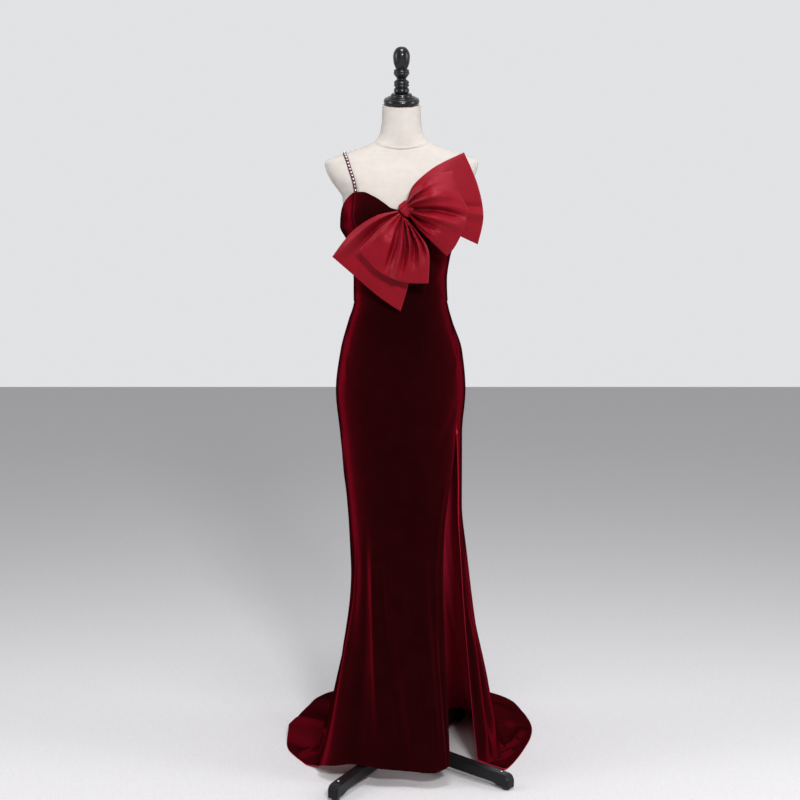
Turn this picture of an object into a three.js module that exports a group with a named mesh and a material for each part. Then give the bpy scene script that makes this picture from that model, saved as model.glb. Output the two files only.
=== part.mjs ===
// Mermaid evening gown with a large bow, on a limbless dress form. Millimetres, +Z up, viewed from -Y.
// The gown is thin walls of cloth. The form inside it is smooth and stands clear of the cloth.
import * as THREE from 'three';

// Driving dimensions
const CLOTH = 2;                 // thickness of the velvet with its backing
const EASE = 4.5;                // room between the form and the cloth
const SEAM = 0.3;                // gap between neighbouring pieces
const WAIST = 1167;              // height of the waist seam at the sides
const WAIST_RISE = 13;           // how much the waist seam rises at the centre front
const KNEE = 510;                // height where the skirt starts to flare
const SLIT_TOP = 866;            // height of the top of the slit
const SLIT_ANGLE = 62;           // degrees from the centre front to the slit, towards the right
const PRINCESS_TOP = 46;         // degrees from the centre front to the princess seam at the neckline
const PRINCESS_WAIST = 30;       // the same at the waist seam
const BUST = { height: 1374, angle: 36, out: 16, wide: 21, tall: 46 };
const PLY = 3;                   // thickness of the doubled bow satin
const KNOT = { x: 5, z: 1391, wide: 26, tall: 36, deep: 28, turn: 38 };
const STRAP = { width: 8, thick: 1.6, shoulder: -140 };
const ZIP = { width: 22, thick: 0.8, inside: 1.5, bottom: 960, pullLong: 22, pullWide: 5, pullThick: 2.4 };
const LEG = { reach: 362, root: 41.3, wide: 28, hub: 54, tip: 38, angles: [-27, 47, 153, 227] };
const HUB = { radius: 38, bottom: 14, top: 60 };
const POLE_RADIUS = 12.5;
const FOOT = { radius: 10, height: 5.7, at: 346 };
const FORM_BOTTOM = 850;
const NECK_TOP = 1650;
const NECK_TILT = 13;            // degrees that the neck cap leans forward

// Outside of the gown: half widths and depths of its rings. n is the squareness of the ring.
const GOWN = [
  { z: 1460, left: 150, right: 150, front: 100, back: 92, n: 2.2 },
  { z: 1438, left: 151, right: 151, front: 106, back: 94, n: 2.2 },
  { z: 1396, left: 152, right: 152, front: 115, back: 97, n: 2.2 },
  { z: 1354, left: 152, right: 150, front: 114, back: 97, n: 2.2 },
  { z: 1320, left: 136, right: 134, front: 106, back: 94, n: 2.15 },
  { z: 1275, left: 123, right: 120, front: 97, back: 88, n: 2.1 },
  { z: 1221, left: 119, right: 113, front: 91, back: 84, n: 2.1 },
  { z: 1167, left: 119, right: 115, front: 89, back: 85, n: 2.1 },
  { z: 1122, left: 132, right: 126, front: 97, back: 98, n: 2.15 },
  { z: 1047, left: 152, right: 151, front: 108, back: 118, n: 2.2 },
  { z: 947, left: 164, right: 160, front: 113, back: 127, n: 2.3 },
  { z: 841, left: 154, right: 152, front: 111, back: 118, n: 2.3 },
  { z: 668, left: 137, right: 152, front: 108, back: 112, n: 2.3 },
  { z: 510, left: 125, right: 166, front: 113, back: 130, n: 2.3 },
];

// Top edge of the bodice by the angle from the centre front, the same on both sides
const NECKLINE = [
  { angle: 0, z: 1394 },
  { angle: 7, z: 1398 },
  { angle: 14, z: 1412 },
  { angle: 24, z: 1428 },
  { angle: 36, z: 1438 },
  { angle: 46, z: 1437 },
  { angle: 57, z: 1425 },
  { angle: 69, z: 1407 },
  { angle: 81, z: 1382 },
  { angle: 90, z: 1358 },
  { angle: 108, z: 1346 },
  { angle: 180, z: 1338 },
];

// The two edges of the slit, by height
const SLIT = [
  { z: 866, front: 61.7, side: 62.3 },
  { z: 780, front: 55.6, side: 66.5 },
  { z: 690, front: 47.6, side: 68.5 },
  { z: 594, front: 39.6, side: 66 },
  { z: 510, front: 35, side: 63 },
];

// Hem of the front panel. land is how far out the cloth has come down, rise how steeply it ends,
// sway how far the column leans out below the knee.
const FRONT_HEM = [
  { at: -90, x: -242, y: -60, z: CLOTH, land: 0.62, rise: 0, sway: -8 },
  { at: -80, x: -208, y: -104, z: 12, land: 0.97, rise: 50, sway: -5 },
  { at: -70, x: -198, y: -150, z: 28, land: 1, rise: 110, sway: 1 },
  { at: -50, x: -136, y: -203, z: 44, land: 1, rise: 150, sway: 10 },
  { at: -25, x: -62, y: -224, z: 46, land: 1, rise: 150, sway: 12 },
  { at: 5, x: 20, y: -235, z: 42, land: 1, rise: 150, sway: 12 },
  { at: 34, x: 83, y: -242, z: 41, land: 1, rise: 150, sway: 12 },
  { at: 62, x: 119, y: -217, z: 51, land: 1, rise: 150, sway: 10 },
];

// Hem of the side front and the back panels, round from the slit to the left side seam
const BACK_HEM = [
  { at: 62, x: 256, y: -116, z: CLOTH, land: 0.45, rise: 0, sway: 8 },
  { at: 75, x: 288, y: -36, z: CLOTH, land: 0.57, rise: 0, sway: 13 },
  { at: 90, x: 318, y: 60, z: CLOTH, land: 0.63, rise: 0, sway: 14 },
  { at: 106, x: 344, y: 165, z: CLOTH, land: 0.61, rise: 0, sway: 13 },
  { at: 122, x: 353, y: 262, z: CLOTH, land: 0.57, rise: 0, sway: 10 },
  { at: 137, x: 339, y: 385, z: CLOTH, land: 0.55, rise: 0, sway: 14 },
  { at: 150, x: 303, y: 520, z: CLOTH, land: 0.53, rise: 0, sway: 18 },
  { at: 163, x: 205, y: 614, z: CLOTH, land: 0.54, rise: 0, sway: 22 },
  { at: 178, x: 50, y: 640, z: CLOTH, land: 0.55, rise: 0, sway: 24 },
  { at: 194, x: -105, y: 634, z: CLOTH, land: 0.55, rise: 0, sway: 22 },
  { at: 207, x: -212, y: 576, z: CLOTH, land: 0.56, rise: 0, sway: 18 },
  { at: 220, x: -262, y: 445, z: CLOTH, land: 0.58, rise: 0, sway: 12 },
  { at: 234, x: -290, y: 320, z: CLOTH, land: 0.58, rise: 0, sway: 3 },
  { at: 248, x: -302, y: 190, z: CLOTH, land: 0.56, rise: 0, sway: -4 },
  { at: 260, x: -294, y: 62, z: CLOTH, land: 0.55, rise: 0, sway: -7 },
  { at: 270, x: -242, y: -60, z: CLOTH, land: 0.62, rise: 0, sway: -8 },
];

// Flutes and troughs of the flare: where they run, how wide in degrees, how high at the hem,
// and how far down from the knee they start and end, 0 at the knee and 1 at the hem
const FLUTES = [
  { at: -62, wide: 9, high: 7, from: 0.15, to: 1.2 },
  { at: -40, wide: 8, high: -5, from: 0.25, to: 1.2 },
  { at: -18, wide: 8, high: 5, from: 0.2, to: 1.2 },
  { at: 2, wide: 7, high: -4, from: 0.3, to: 1.2 },
  { at: 22, wide: 7, high: 5, from: 0.25, to: 1.2 },
  { at: 42, wide: 7, high: -4, from: 0.3, to: 1.2 },
  { at: 71, wide: 4.5, high: 12, from: 0.1, to: 0.95 },
  { at: 80, wide: 4, high: -8, from: 0.2, to: 0.9 },
  { at: 88, wide: 4.5, high: 9, from: 0.2, to: 0.9 },
  { at: 108, wide: 7, high: -9, from: 0.1, to: 0.75 },
  { at: 124, wide: 6, high: 11, from: 0.05, to: 0.8 },
  { at: 140, wide: 6, high: -11, from: 0.05, to: 0.8 },
  { at: 156, wide: 6, high: 12, from: 0.05, to: 0.8 },
  { at: 172, wide: 6, high: -11, from: 0.1, to: 0.8 },
  { at: 188, wide: 6, high: 12, from: 0.05, to: 0.8 },
  { at: 204, wide: 6, high: -10, from: 0.1, to: 0.8 },
  { at: 220, wide: 6, high: 11, from: 0.05, to: 0.8 },
  { at: 236, wide: 6, high: -7, from: 0.1, to: 0.75 },
  { at: 250, wide: 5, high: 3, from: 0.2, to: 0.8 },
  { at: 261, wide: 4, high: -8, from: 0.35, to: 0.95 },
];

// The dress form above the gown. tilt is how much of the neck's lean the ring takes.
const FORM_TOP = [
  { z: 1396, wide: 144, front: 108, back: 90, n: 2.2, tilt: 0 },
  { z: 1425, wide: 146, front: 99, back: 88, n: 2.2, tilt: 0 },
  { z: 1443, wide: 157, front: 92, back: 86, n: 2.25, tilt: 0 },
  { z: 1465, wide: 173, front: 83, back: 83, n: 2.4, tilt: 0 },
  { z: 1492, wide: 186, front: 69, back: 75, n: 2.5, tilt: 0 },
  { z: 1508, wide: 189, front: 60, back: 68, n: 2.5, tilt: 0 },
  { z: 1517, wide: 182, front: 56, back: 64, n: 2.4, tilt: 0 },
  { z: 1527, wide: 158, front: 52, back: 61, n: 2.2, tilt: 0 },
  { z: 1540, wide: 118, front: 49, back: 58, n: 2, tilt: 0.1 },
  { z: 1553, wide: 82, front: 48, back: 55, n: 2, tilt: 0.2 },
  { z: 1566, wide: 62, front: 48, back: 52, n: 2, tilt: 0.4 },
  { z: 1585, wide: 52, front: 48, back: 50, n: 2, tilt: 0.6 },
  { z: 1615, wide: 48, front: 47, back: 48, n: 2, tilt: 0.9 },
  { z: NECK_TOP, wide: 47, front: 47, back: 47, n: 2, tilt: 1 },
];

// Bow wings, from the knot's middle, x to the right and z up. Each edge is a curve from the knot outwards.
const WINGS = {
  bow_back_right: {
    side: 1, near: 2.4, depth: 4, out: 0, puff: 7, folds: 3, fold: 5, stand: 26, lean: 0.0009,
    upper: [{ x: 13, z: 22 }, { x: 26, z: 62 }, { x: 74, z: 105 }, { x: 144, z: 140 }],
    rim: [{ x: 144, z: 140 }, { x: 178, z: 62 }, { x: 192, z: -12 }, { x: 179, z: -80 }],
    lower: [{ x: 20, z: -6 }, { x: 70, z: -22 }, { x: 120, z: -52 }, { x: 179, z: -80 }],
  },
  bow_front_right: {
    side: 1, near: 3, depth: -7, out: 16, puff: 13, folds: 4, fold: 8, stand: 30, lean: 0.0007,
    upper: [{ x: 15, z: 22 }, { x: 30, z: 50 }, { x: 68, z: 84 }, { x: 117, z: 96 }],
    rim: [{ x: 117, z: 96 }, { x: 147, z: 46 }, { x: 150, z: -32 }, { x: 103, z: -107 }],
    lower: [{ x: 21, z: -12 }, { x: 38, z: -42 }, { x: 70, z: -76 }, { x: 103, z: -107 }],
  },
  bow_back_left: {
    side: -1, near: 2.3, depth: 4, out: 0, puff: 7, folds: 3, fold: 5, stand: 24, lean: 0.0009,
    upper: [{ x: -19, z: 2 }, { x: -72, z: -12 }, { x: -126, z: -50 }, { x: -173, z: -109 }],
    rim: [{ x: -173, z: -109 }, { x: -118, z: -156 }, { x: -60, z: -205 }, { x: -7, z: -241 }],
    lower: [{ x: -4, z: -26 }, { x: 8, z: -90 }, { x: 14, z: -160 }, { x: -7, z: -241 }],
  },
  bow_front_left: {
    side: -1, near: 2, depth: -7, out: 17, puff: 15, folds: 5, fold: 8, stand: 28, lean: 0.0007,
    upper: [{ x: -19, z: -5 }, { x: -52, z: -26 }, { x: -84, z: -54 }, { x: -107, z: -93 }],
    rim: [{ x: -107, z: -93 }, { x: -60, z: -142 }, { x: 0, z: -168 }, { x: 60, z: -171 }],
    lower: [{ x: 4, z: -24 }, { x: 34, z: -52 }, { x: 60, z: -96 }, { x: 60, z: -171 }],
  },
};

const VELVET = { color: 0x4a0612, roughness: 0.85, metalness: 0 };
const SATIN = { color: 0x96182a, roughness: 0.45, metalness: 0 };
const RIBBON = { color: 0x2a0a10, roughness: 0.6, metalness: 0 };
const LINEN = { color: 0xe6dfd8, roughness: 0.95, metalness: 0 };
const BLACK = { color: 0x1a1a1e, roughness: 0.45, metalness: 0 };

const rad = THREE.MathUtils.degToRad;
const smooth = (low, high, x) => THREE.MathUtils.smoothstep(x, low, high);
const bell = (x) => Math.exp(-x * x);
const point = (x, y, z) => new THREE.Vector3(x, y, z);

// A smooth curve through one column of a table: cubic pieces whose slopes never overshoot
function curve(rows, key, column) {
  const sorted = [...rows].sort((a, b) => a[key] - b[key]);
  const at = sorted.map((row) => row[key]);
  const value = sorted.map((row) => row[column]);
  const last = at.length - 1;
  const rate = at.slice(1).map((x, i) => (value[i + 1] - value[i]) / (x - at[i]));
  const slope = at.map((x, i) => {
    if (i === 0) return rate[0];
    if (i === last) return rate[last - 1];
    return rate[i - 1] * rate[i] <= 0 ? 0 : 2 * rate[i - 1] * rate[i] / (rate[i - 1] + rate[i]);
  });
  return (x) => {
    const s = THREE.MathUtils.clamp(x, at[0], at[last]);
    let i = 0;
    while (i < last - 1 && s > at[i + 1]) i += 1;
    const step = at[i + 1] - at[i];
    const t = (s - at[i]) / step;
    const keep = (1 + 2 * t) * (1 - t) ** 2 * value[i] + t * t * (3 - 2 * t) * value[i + 1];
    return keep + step * (t * (1 - t) ** 2 * slope[i] + t * t * (t - 1) * slope[i + 1]);
  };
}

// A smooth curve that may turn freely, for hem outlines
function flow(rows, key, column) {
  const value = rows.map((row) => row[column]);
  const last = rows.length - 1;
  return (x) => {
    let i = 0;
    while (i < last - 1 && x > rows[i + 1][key]) i += 1;
    const t = THREE.MathUtils.clamp((x - rows[i][key]) / (rows[i + 1][key] - rows[i][key]), 0, 1);
    const before = value[Math.max(i - 1, 0)];
    const after = value[Math.min(i + 2, last)];
    const bend = (2 * t * t - t ** 3 - t) * before + (t ** 3 - t * t) * after;
    const hold = (3 * t ** 3 - 5 * t * t + 2) * value[i] + (4 * t * t - 3 * t ** 3 + t) * value[i + 1];
    return (bend + hold) / 2;
  };
}

function columns(rows, key, make) {
  const names = Object.keys(rows[0]).filter((name) => name !== key);
  return Object.fromEntries(names.map((name) => [name, make(rows, key, name)]));
}

const gown = columns(GOWN, 'z', curve);
const slit = columns(SLIT, 'z', curve);
const neckline = curve(NECKLINE, 'angle', 'z');
const formTop = columns(FORM_TOP, 'z', curve);
const frontHem = columns(FRONT_HEM, 'at', flow);
const backHem = columns(BACK_HEM, 'at', flow);

// A point on a ring. The angle runs from the centre front towards +X.
function onRing(angle, left, right, front, back, n) {
  const s = Math.sin(rad(angle));
  const c = Math.cos(rad(angle));
  const x = Math.sign(s) * Math.abs(s) ** (2 / n) * (s < 0 ? left : right);
  const y = -Math.sign(c) * Math.abs(c) ** (2 / n) * (c < 0 ? back : front);
  return [x, y];
}

// The outside of the gown at an angle and a height, with the two cups
function gownPoint(angle, z, inset = 0) {
  const size = [gown.left(z), gown.right(z), gown.front(z), gown.back(z)].map((r) => r - inset);
  const [x, y] = onRing(angle, ...size, gown.n(z));
  const turn = ((angle + 180) % 360 + 360) % 360 - 180;
  const cup = bell((Math.abs(turn) - BUST.angle) / BUST.wide) * bell((z - BUST.height) / BUST.tall);
  const grow = 1 + BUST.out * cup / Math.hypot(x, y);
  return point(x * grow, y * grow, z);
}

const waistHeight = (angle) => WAIST + WAIST_RISE * Math.max(0, Math.cos(rad(angle))) ** 2;

// Closed solids from grids of points

function normalsOf(grid, side) {
  const last = grid.length - 1;
  return grid.map((line, i) => line.map((_, j) => {
    const along = grid[Math.min(i + 1, last)][j].clone().sub(grid[Math.max(i - 1, 0)][j]);
    const up = line[Math.min(j + 1, line.length - 1)].clone().sub(line[Math.max(j - 1, 0)]);
    return along.cross(up).normalize().multiplyScalar(side);
  }));
}

function geometryOf(points, triangles) {
  const geometry = new THREE.BufferGeometry();
  geometry.setAttribute('position', new THREE.Float32BufferAttribute(points.flatMap((p) => p.toArray()), 3));
  geometry.setIndex(triangles.flat());
  geometry.computeVertexNormals();
  return geometry;
}

// The wall between two grids of the same size, closed round its rim
function wall(outer, inner, side) {
  const rows = outer[0].length;
  const size = outer.length * rows;
  const points = [...outer.flat(), ...inner.flat()];
  const triangles = [];
  const out = (i, j) => i * rows + j;
  const ins = (i, j) => size + i * rows + j;
  const quad = (a, b, c, d) => {
    if (side > 0) triangles.push([a, b, c], [a, c, d]);
    else triangles.push([c, b, a], [d, c, a]);
  };
  for (let i = 0; i < outer.length - 1; i += 1) {
    for (let j = 0; j < rows - 1; j += 1) {
      quad(out(i, j), out(i + 1, j), out(i + 1, j + 1), out(i, j + 1));
      quad(ins(i, j + 1), ins(i + 1, j + 1), ins(i + 1, j), ins(i, j));
    }
    quad(out(i + 1, 0), out(i, 0), ins(i, 0), ins(i + 1, 0));
    quad(out(i, rows - 1), out(i + 1, rows - 1), ins(i + 1, rows - 1), ins(i, rows - 1));
  }
  const end = outer.length - 1;
  for (let j = 0; j < rows - 1; j += 1) {
    quad(out(0, j), out(0, j + 1), ins(0, j + 1), ins(0, j));
    quad(out(end, j + 1), out(end, j), ins(end, j), ins(end, j + 1));
  }
  return geometryOf(points, triangles);
}

// Cloth of the given thickness inside a grid of its outer points, never under the floor
function cloth(outer, thickness, side, normals = normalsOf(outer, side)) {
  const inner = outer.map((line, i) => line.map((p, j) => {
    const q = p.clone().addScaledVector(normals[i][j], -thickness);
    q.z = Math.max(q.z, 0);
    return q;
  }));
  return wall(outer, inner, side);
}

// Pulls the first and last line of a grid in by half a seam gap
function openSeams(grid) {
  const end = grid.length - 1;
  const pull = (line, next) => line.map((p, j) => {
    const step = next[j].clone().sub(p).normalize();
    return p.clone().addScaledVector(step, 0.7 * SEAM);
  });
  return grid.map((line, i) => {
    if (i === 0) return pull(line, grid[1]);
    return i === end ? pull(line, grid[end - 1]) : line;
  });
}

const spread = (from, to, count) => {
  return Array.from({ length: count + 1 }, (_, i) => from + (to - from) * i / count);
};

// Solid of stacked rings, closed with a fan at each end
function stack(rings) {
  const around = rings[0].length;
  const points = rings.flat();
  const triangles = [];
  for (let k = 0; k < rings.length - 1; k += 1) {
    for (let i = 0; i < around; i += 1) {
      const a = k * around + i;
      const b = k * around + (i + 1) % around;
      triangles.push([a, b, b + around], [a, b + around, a + around]);
    }
  }
  const middle = (ring) => ring.reduce((sum, p) => sum.add(p), point(0, 0, 0)).divideScalar(around);
  const bottom = points.push(middle(rings[0])) - 1;
  const top = points.push(middle(rings[rings.length - 1])) - 1;
  const lastRing = (rings.length - 1) * around;
  for (let i = 0; i < around; i += 1) {
    const next = (i + 1) % around;
    triangles.push([bottom, next, i], [top, lastRing + i, lastRing + next]);
  }
  return geometryOf(points, triangles);
}

// Skirt

const legTop = (r) => THREE.MathUtils.lerp(LEG.hub, LEG.tip, THREE.MathUtils.clamp(r / LEG.reach, 0, 1));

// How high the cloth must be to lie over the legs at a place
function overLegs(x, y) {
  const clear = 9;
  const slopeWide = 46;
  let height = 0;
  for (const angle of LEG.angles) {
    const along = x * Math.sin(rad(angle)) - y * Math.cos(rad(angle));
    const r = THREE.MathUtils.clamp(along, 0, LEG.reach);
    const away = Math.hypot(x - r * Math.sin(rad(angle)), y + r * Math.cos(rad(angle)));
    const beside = Math.max(0, away - LEG.wide / 2 - 8) / slopeWide;
    height = Math.max(height, (legTop(r) + clear) * bell(beside));
  }
  return height;
}

const isFront = (at) => at <= SLIT_ANGLE;

// Angle on the ring of a skirt column. The columns draw apart at the slit.
function ringAngle(at, front, z) {
  const low = Math.min(z, SLIT_TOP);
  const edge = z > SLIT_TOP ? SLIT_ANGLE : (front ? slit.front(low) : slit.side(low));
  if (front) return -90 + (at + 90) * (edge + 90) / (SLIT_ANGLE + 90);
  return 270 - (270 - at) * (270 - edge) / (270 - SLIT_ANGLE);
}

// Points of one skirt column below the knee, evenly spaced down its length
function flare(at, front, count) {
  const hem = front ? frontHem : backHem;
  const start = gownPoint(ringAngle(at, front, KNEE), KNEE);
  const end = point(hem.x(at), hem.y(at), hem.z(at));
  const land = start.clone().lerp(end, Math.min(hem.land(at), 1)).setZ(end.z);
  const out = land.clone().sub(start).setZ(0).normalize();
  const drop = start.clone().addScaledVector(out, hem.sway(at)).setZ(KNEE - 130);
  const reach = 0.2 + 0.15 * smooth(0, 120, hem.rise(at));
  const turn = land.clone().lerp(start, reach).setZ(land.z + hem.rise(at));
  const fall = new THREE.CubicBezierCurve3(start, drop, turn, land);
  const path = fall.getPoints(48);
  if (hem.land(at) < 0.999) path.push(...spread(0, 1, 12).slice(1).map((t) => land.clone().lerp(end, t)));
  const length = [0];
  path.slice(1).forEach((p, i) => length.push(length[i] + p.distanceTo(path[i])));
  return spread(0, length[length.length - 1], count).slice(1).map((want) => {
    let i = 0;
    while (i < path.length - 2 && length[i + 1] < want) i += 1;
    const part = (want - length[i]) / (length[i + 1] - length[i]);
    return path[i].clone().lerp(path[i + 1], THREE.MathUtils.clamp(part, 0, 1));
  });
}

function fluteHeight(at, v) {
  return FLUTES.reduce((sum, f) => {
    const fade = smooth(f.from, f.from + 0.35, v) * (1 - smooth(f.to - 0.2, f.to, v));
    return sum + f.high * bell((at - f.at) / f.wide) * fade;
  }, 0);
}

const UPPER_ROWS = [1167, 1125, 1080, 1030, 970, 910, 866, 780, 700, 630, 570, KNEE];
const FLARE_ROWS = 13;

function skirtColumn(at, front) {
  const upper = UPPER_ROWS.map((z, j) => {
    const angle = ringAngle(at, front, z);
    return gownPoint(angle, j === 0 ? waistHeight(angle) - SEAM / 2 : z);
  });
  return [...upper, ...flare(at, front, FLARE_ROWS)];
}

// The larger of two heights, with a soft turn where they are alike
const softMax = (a, b) => (a ** 5 + b ** 5) ** 0.2;

// Raises flutes along the cloth's own direction, then lifts it over the legs
function shapeFlare(grid, ats, side) {
  const normals = normalsOf(grid, side);
  const first = UPPER_ROWS.length;
  return grid.map((line, i) => line.map((p, j) => {
    if (j < first) return p;
    const v = (j - first + 1) / FLARE_ROWS;
    const q = p.clone().addScaledVector(normals[i][j], fluteHeight(ats[i], v));
    q.z = softMax(Math.max(q.z, CLOTH), overLegs(q.x, q.y));
    return q;
  }));
}

const FRONT_COLUMNS = 26;
const SIDE_COLUMNS = 6;
const BACK_COLUMNS = 13;

function skirtPanels() {
  const down = -1;
  const frontAts = spread(-90, SLIT_ANGLE, FRONT_COLUMNS);
  const backAts = [
    ...spread(SLIT_ANGLE, 90, SIDE_COLUMNS),
    ...spread(90, 180, BACK_COLUMNS).slice(1),
    ...spread(180, 270, BACK_COLUMNS).slice(1),
  ];
  const make = (ats, front) => {
    const grid = shapeFlare(ats.map((at) => skirtColumn(at, front)), ats, down);
    return { grid, normals: normalsOf(grid, down) };
  };
  const front = make(frontAts, true);
  const back = make(backAts, false);
  // both grids share the left side seam, so they take the same direction there
  const end = backAts.length - 1;
  front.normals[0].forEach((n, j) => {
    n.add(back.normals[end][j]).normalize();
    back.normals[end][j].copy(n);
  });
  const cut = ({ grid, normals }, from, to) => {
    const part = openSeams(grid.slice(from, to + 1));
    return cloth(part, CLOTH, down, normals.slice(from, to + 1));
  };
  return {
    skirt_front: cut(front, 0, FRONT_COLUMNS),
    skirt_side_front: cut(back, 0, SIDE_COLUMNS),
    skirt_back_right: cut(back, SIDE_COLUMNS, SIDE_COLUMNS + BACK_COLUMNS),
    skirt_back_left: cut(back, SIDE_COLUMNS + BACK_COLUMNS, end),
  };
}

// Bodice

// The princess seams come closer together towards the waist
function bodiceAngle(at, t) {
  const seam = THREE.MathUtils.lerp(PRINCESS_WAIST, PRINCESS_TOP, t);
  const size = Math.abs(at);
  if (size >= 90) return at;
  const moved = size <= PRINCESS_TOP
    ? size * seam / PRINCESS_TOP
    : 90 - (90 - size) * (90 - seam) / (90 - PRINCESS_TOP);
  return Math.sign(at) * moved;
}

function bodiceColumn(at, rows) {
  const top = neckline(Math.abs(at));
  return spread(0, 1, rows).map((t) => {
    const angle = bodiceAngle(at, t);
    const low = waistHeight(angle) + SEAM / 2;
    return gownPoint(angle, low + (top - low) * t);
  });
}

function bodicePanel(from, to, count, rows) {
  const step = (to - from) / count;
  const ats = spread(from - step, to + step, count + 2);
  const grid = ats.map((at) => bodiceColumn(THREE.MathUtils.clamp(at, -180, 180), rows));
  const normals = normalsOf(grid, 1).slice(1, -1);
  return cloth(openSeams(grid.slice(1, -1)), CLOTH, 1, normals);
}

function bodicePanels() {
  return {
    bodice_centre_front: bodicePanel(-PRINCESS_TOP, PRINCESS_TOP, 18, 10),
    bodice_side_front_left: bodicePanel(-90, -PRINCESS_TOP, 7, 10),
    bodice_side_front_right: bodicePanel(PRINCESS_TOP, 90, 7, 10),
    bodice_back_left: bodicePanel(-180, -90, 10, 8),
    bodice_back_right: bodicePanel(90, 180, 10, 8),
  };
}

// A strip just inside the centre back seam
function zipTape() {
  const top = neckline(180) - 1;
  const half = ZIP.width / 2;
  const grid = [-half, 0, half].map((x) => spread(ZIP.bottom, top, 14).map((z) => {
    const angle = 180 - THREE.MathUtils.radToDeg(Math.asin(x / gown.right(z)));
    return gownPoint(angle, z, CLOTH + ZIP.inside);
  })).reverse();
  return cloth(grid, ZIP.thick, 1);
}

function zipPull() {
  const top = neckline(180) - 2;
  const shape = new THREE.Shape();
  const half = ZIP.pullWide / 2;
  shape.moveTo(-half / 2, 0);
  shape.lineTo(-half, -ZIP.pullLong + half);
  shape.absarc(0, -ZIP.pullLong + half, half, Math.PI, 2 * Math.PI, false);
  shape.lineTo(half / 2, 0);
  shape.closePath();
  const options = { depth: ZIP.pullThick, bevelEnabled: false, curveSegments: 6 };
  const geometry = new THREE.ExtrudeGeometry(shape, options);
  geometry.rotateX(Math.PI / 2);
  const y = gownPoint(180, top).y + SEAM;
  geometry.translate(0, y + ZIP.pullThick, top);
  return geometry;
}

// Dress form

function formSection(z) {
  if (z >= FORM_TOP[0].z) {
    return (angle) => {
      const wide = formTop.wide(z);
      const [x, y] = onRing(angle, wide, wide, formTop.front(z), formTop.back(z), formTop.n(z));
      const cup = bell((Math.abs(angle) - BUST.angle) / BUST.wide) * bell((z - BUST.height) / BUST.tall);
      const grow = 1 + BUST.out * cup / Math.hypot(x, y);
      return point(x * grow, y * grow, z + formTop.tilt(z) * y * Math.tan(rad(NECK_TILT)));
    };
  }
  return (angle) => gownPoint(angle, z, CLOTH + EASE);
}

function formTorso() {
  const heights = [
    ...spread(FORM_BOTTOM, 1167, 9), 1194, 1222, 1275, 1320, 1354, 1375, 1396, 1425, 1448, 1470, 1492,
    1508, 1517, 1527, 1540, 1553, 1566, 1585, 1615, NECK_TOP,
  ];
  const angles = spread(-180, 180, 36).slice(0, -1);
  return stack(heights.map((z) => angles.map((angle) => formSection(z)(angle))));
}

// Where a ray in the plane of a given x leaves the form, from a centre inside the shoulder
function formSkin(x, turn, off) {
  const centre = { y: 0, z: 1440 };
  const inset = CLOTH + EASE;
  const section = (z) => {
    const { wide, front, back, n } = formTop;
    if (z >= FORM_TOP[0].z) return { wide: wide(z), front: front(z), back: back(z), n: n(z) };
    return { wide: gown.left(z) - inset, front: gown.front(z), back: gown.back(z) - inset, n: gown.n(z) };
  };
  let low = 0;
  let high = 260;
  for (let k = 0; k < 30; k += 1) {
    const r = (low + high) / 2;
    const z = centre.z + r * Math.cos(rad(turn));
    const y = centre.y + r * Math.sin(rad(turn));
    const s = section(Math.min(z, NECK_TOP));
    const inside = (Math.abs(x) / s.wide) ** s.n + (Math.abs(y) / (y < 0 ? s.front : s.back)) ** s.n < 1;
    if (inside) low = r;
    else high = r;
  }
  return point(x, centre.y + (low + off) * Math.sin(rad(turn)), centre.z + (low + off) * Math.cos(rad(turn)));
}

// The strap runs from the left cup over the shoulder to the top edge of the back
const STRAP_ROUTE = [
  { t: 0, x: -111, turn: -92.3, off: 5 },
  { t: 0.12, x: -116, turn: -72, off: 2.4 },
  { t: 0.3, x: -128, turn: -42, off: 1 },
  { t: 0.42, x: STRAP.shoulder, turn: -8, off: 1 },
  { t: 0.55, x: -139, turn: 30, off: 1 },
  { t: 0.75, x: -122, turn: 84, off: 1.4 },
  { t: 1, x: -98, turn: 142.25, off: 4.8 },
];
const strapRoute = columns(STRAP_ROUTE, 't', curve);

function strap() {
  const half = STRAP.width / 2;
  const lines = [-half, half].map((side) => spread(0, 1, 40).map((t) => {
    const lean = side * (1 - 0.25 * smooth(0.3, 0.6, t));
    return formSkin(strapRoute.x(t) + lean, strapRoute.turn(t), strapRoute.off(t) + STRAP.thick);
  }));
  return cloth(lines, STRAP.thick, 1);
}

function lathe(profile, segments) {
  const geometry = new THREE.LatheGeometry(profile.map(([r, z]) => new THREE.Vector2(r, z)), segments);
  geometry.rotateX(Math.PI / 2);
  return geometry;
}

// Neck cap: a disc with a round edge, and two steps up to the finial
function neckCap() {
  const r = 44;
  return lathe([
    [0, 0.4], [r - 6, 0.4], [r - 1.5, 4], [r, 9], [r - 1.5, 14], [r - 6, 17], [34, 18.5], [28, 20.5],
    [26, 24], [24, 27], [21, 28.5], [0, 28.5],
  ], 24);
}

// Turned finial: a ball, two double rings with tapers between them, and an egg on top
function finial() {
  return lathe([
    [0, 28.9], [15.5, 28.9], [19, 34.5], [17.5, 40], [14.9, 43.7], [18.6, 47.5], [17.2, 51.2], [18.6, 55],
    [15, 59.5], [11.2, 63], [15, 69.5], [19.5, 77], [18, 80.4], [18.6, 84], [13, 88], [17, 98], [20.2, 108],
    [20.6, 118], [17.7, 129.5], [12.5, 137], [6, 140.5], [0, 141],
  ], 20);
}

// Bow

// Middle height of a bow wing's cloth in front of the bust, by the distance from the knot
function wingDepth(wing, x, z) {
  const away = Math.hypot(x, z);
  const start = -127;
  const forward = wing.stand * smooth(0, 75, away) + wing.out * smooth(10, 90, away);
  const bust = wing.lean * x * x + 0.13 * Math.max(0, -z);
  return start + wing.depth - forward + bust;
}

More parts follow.
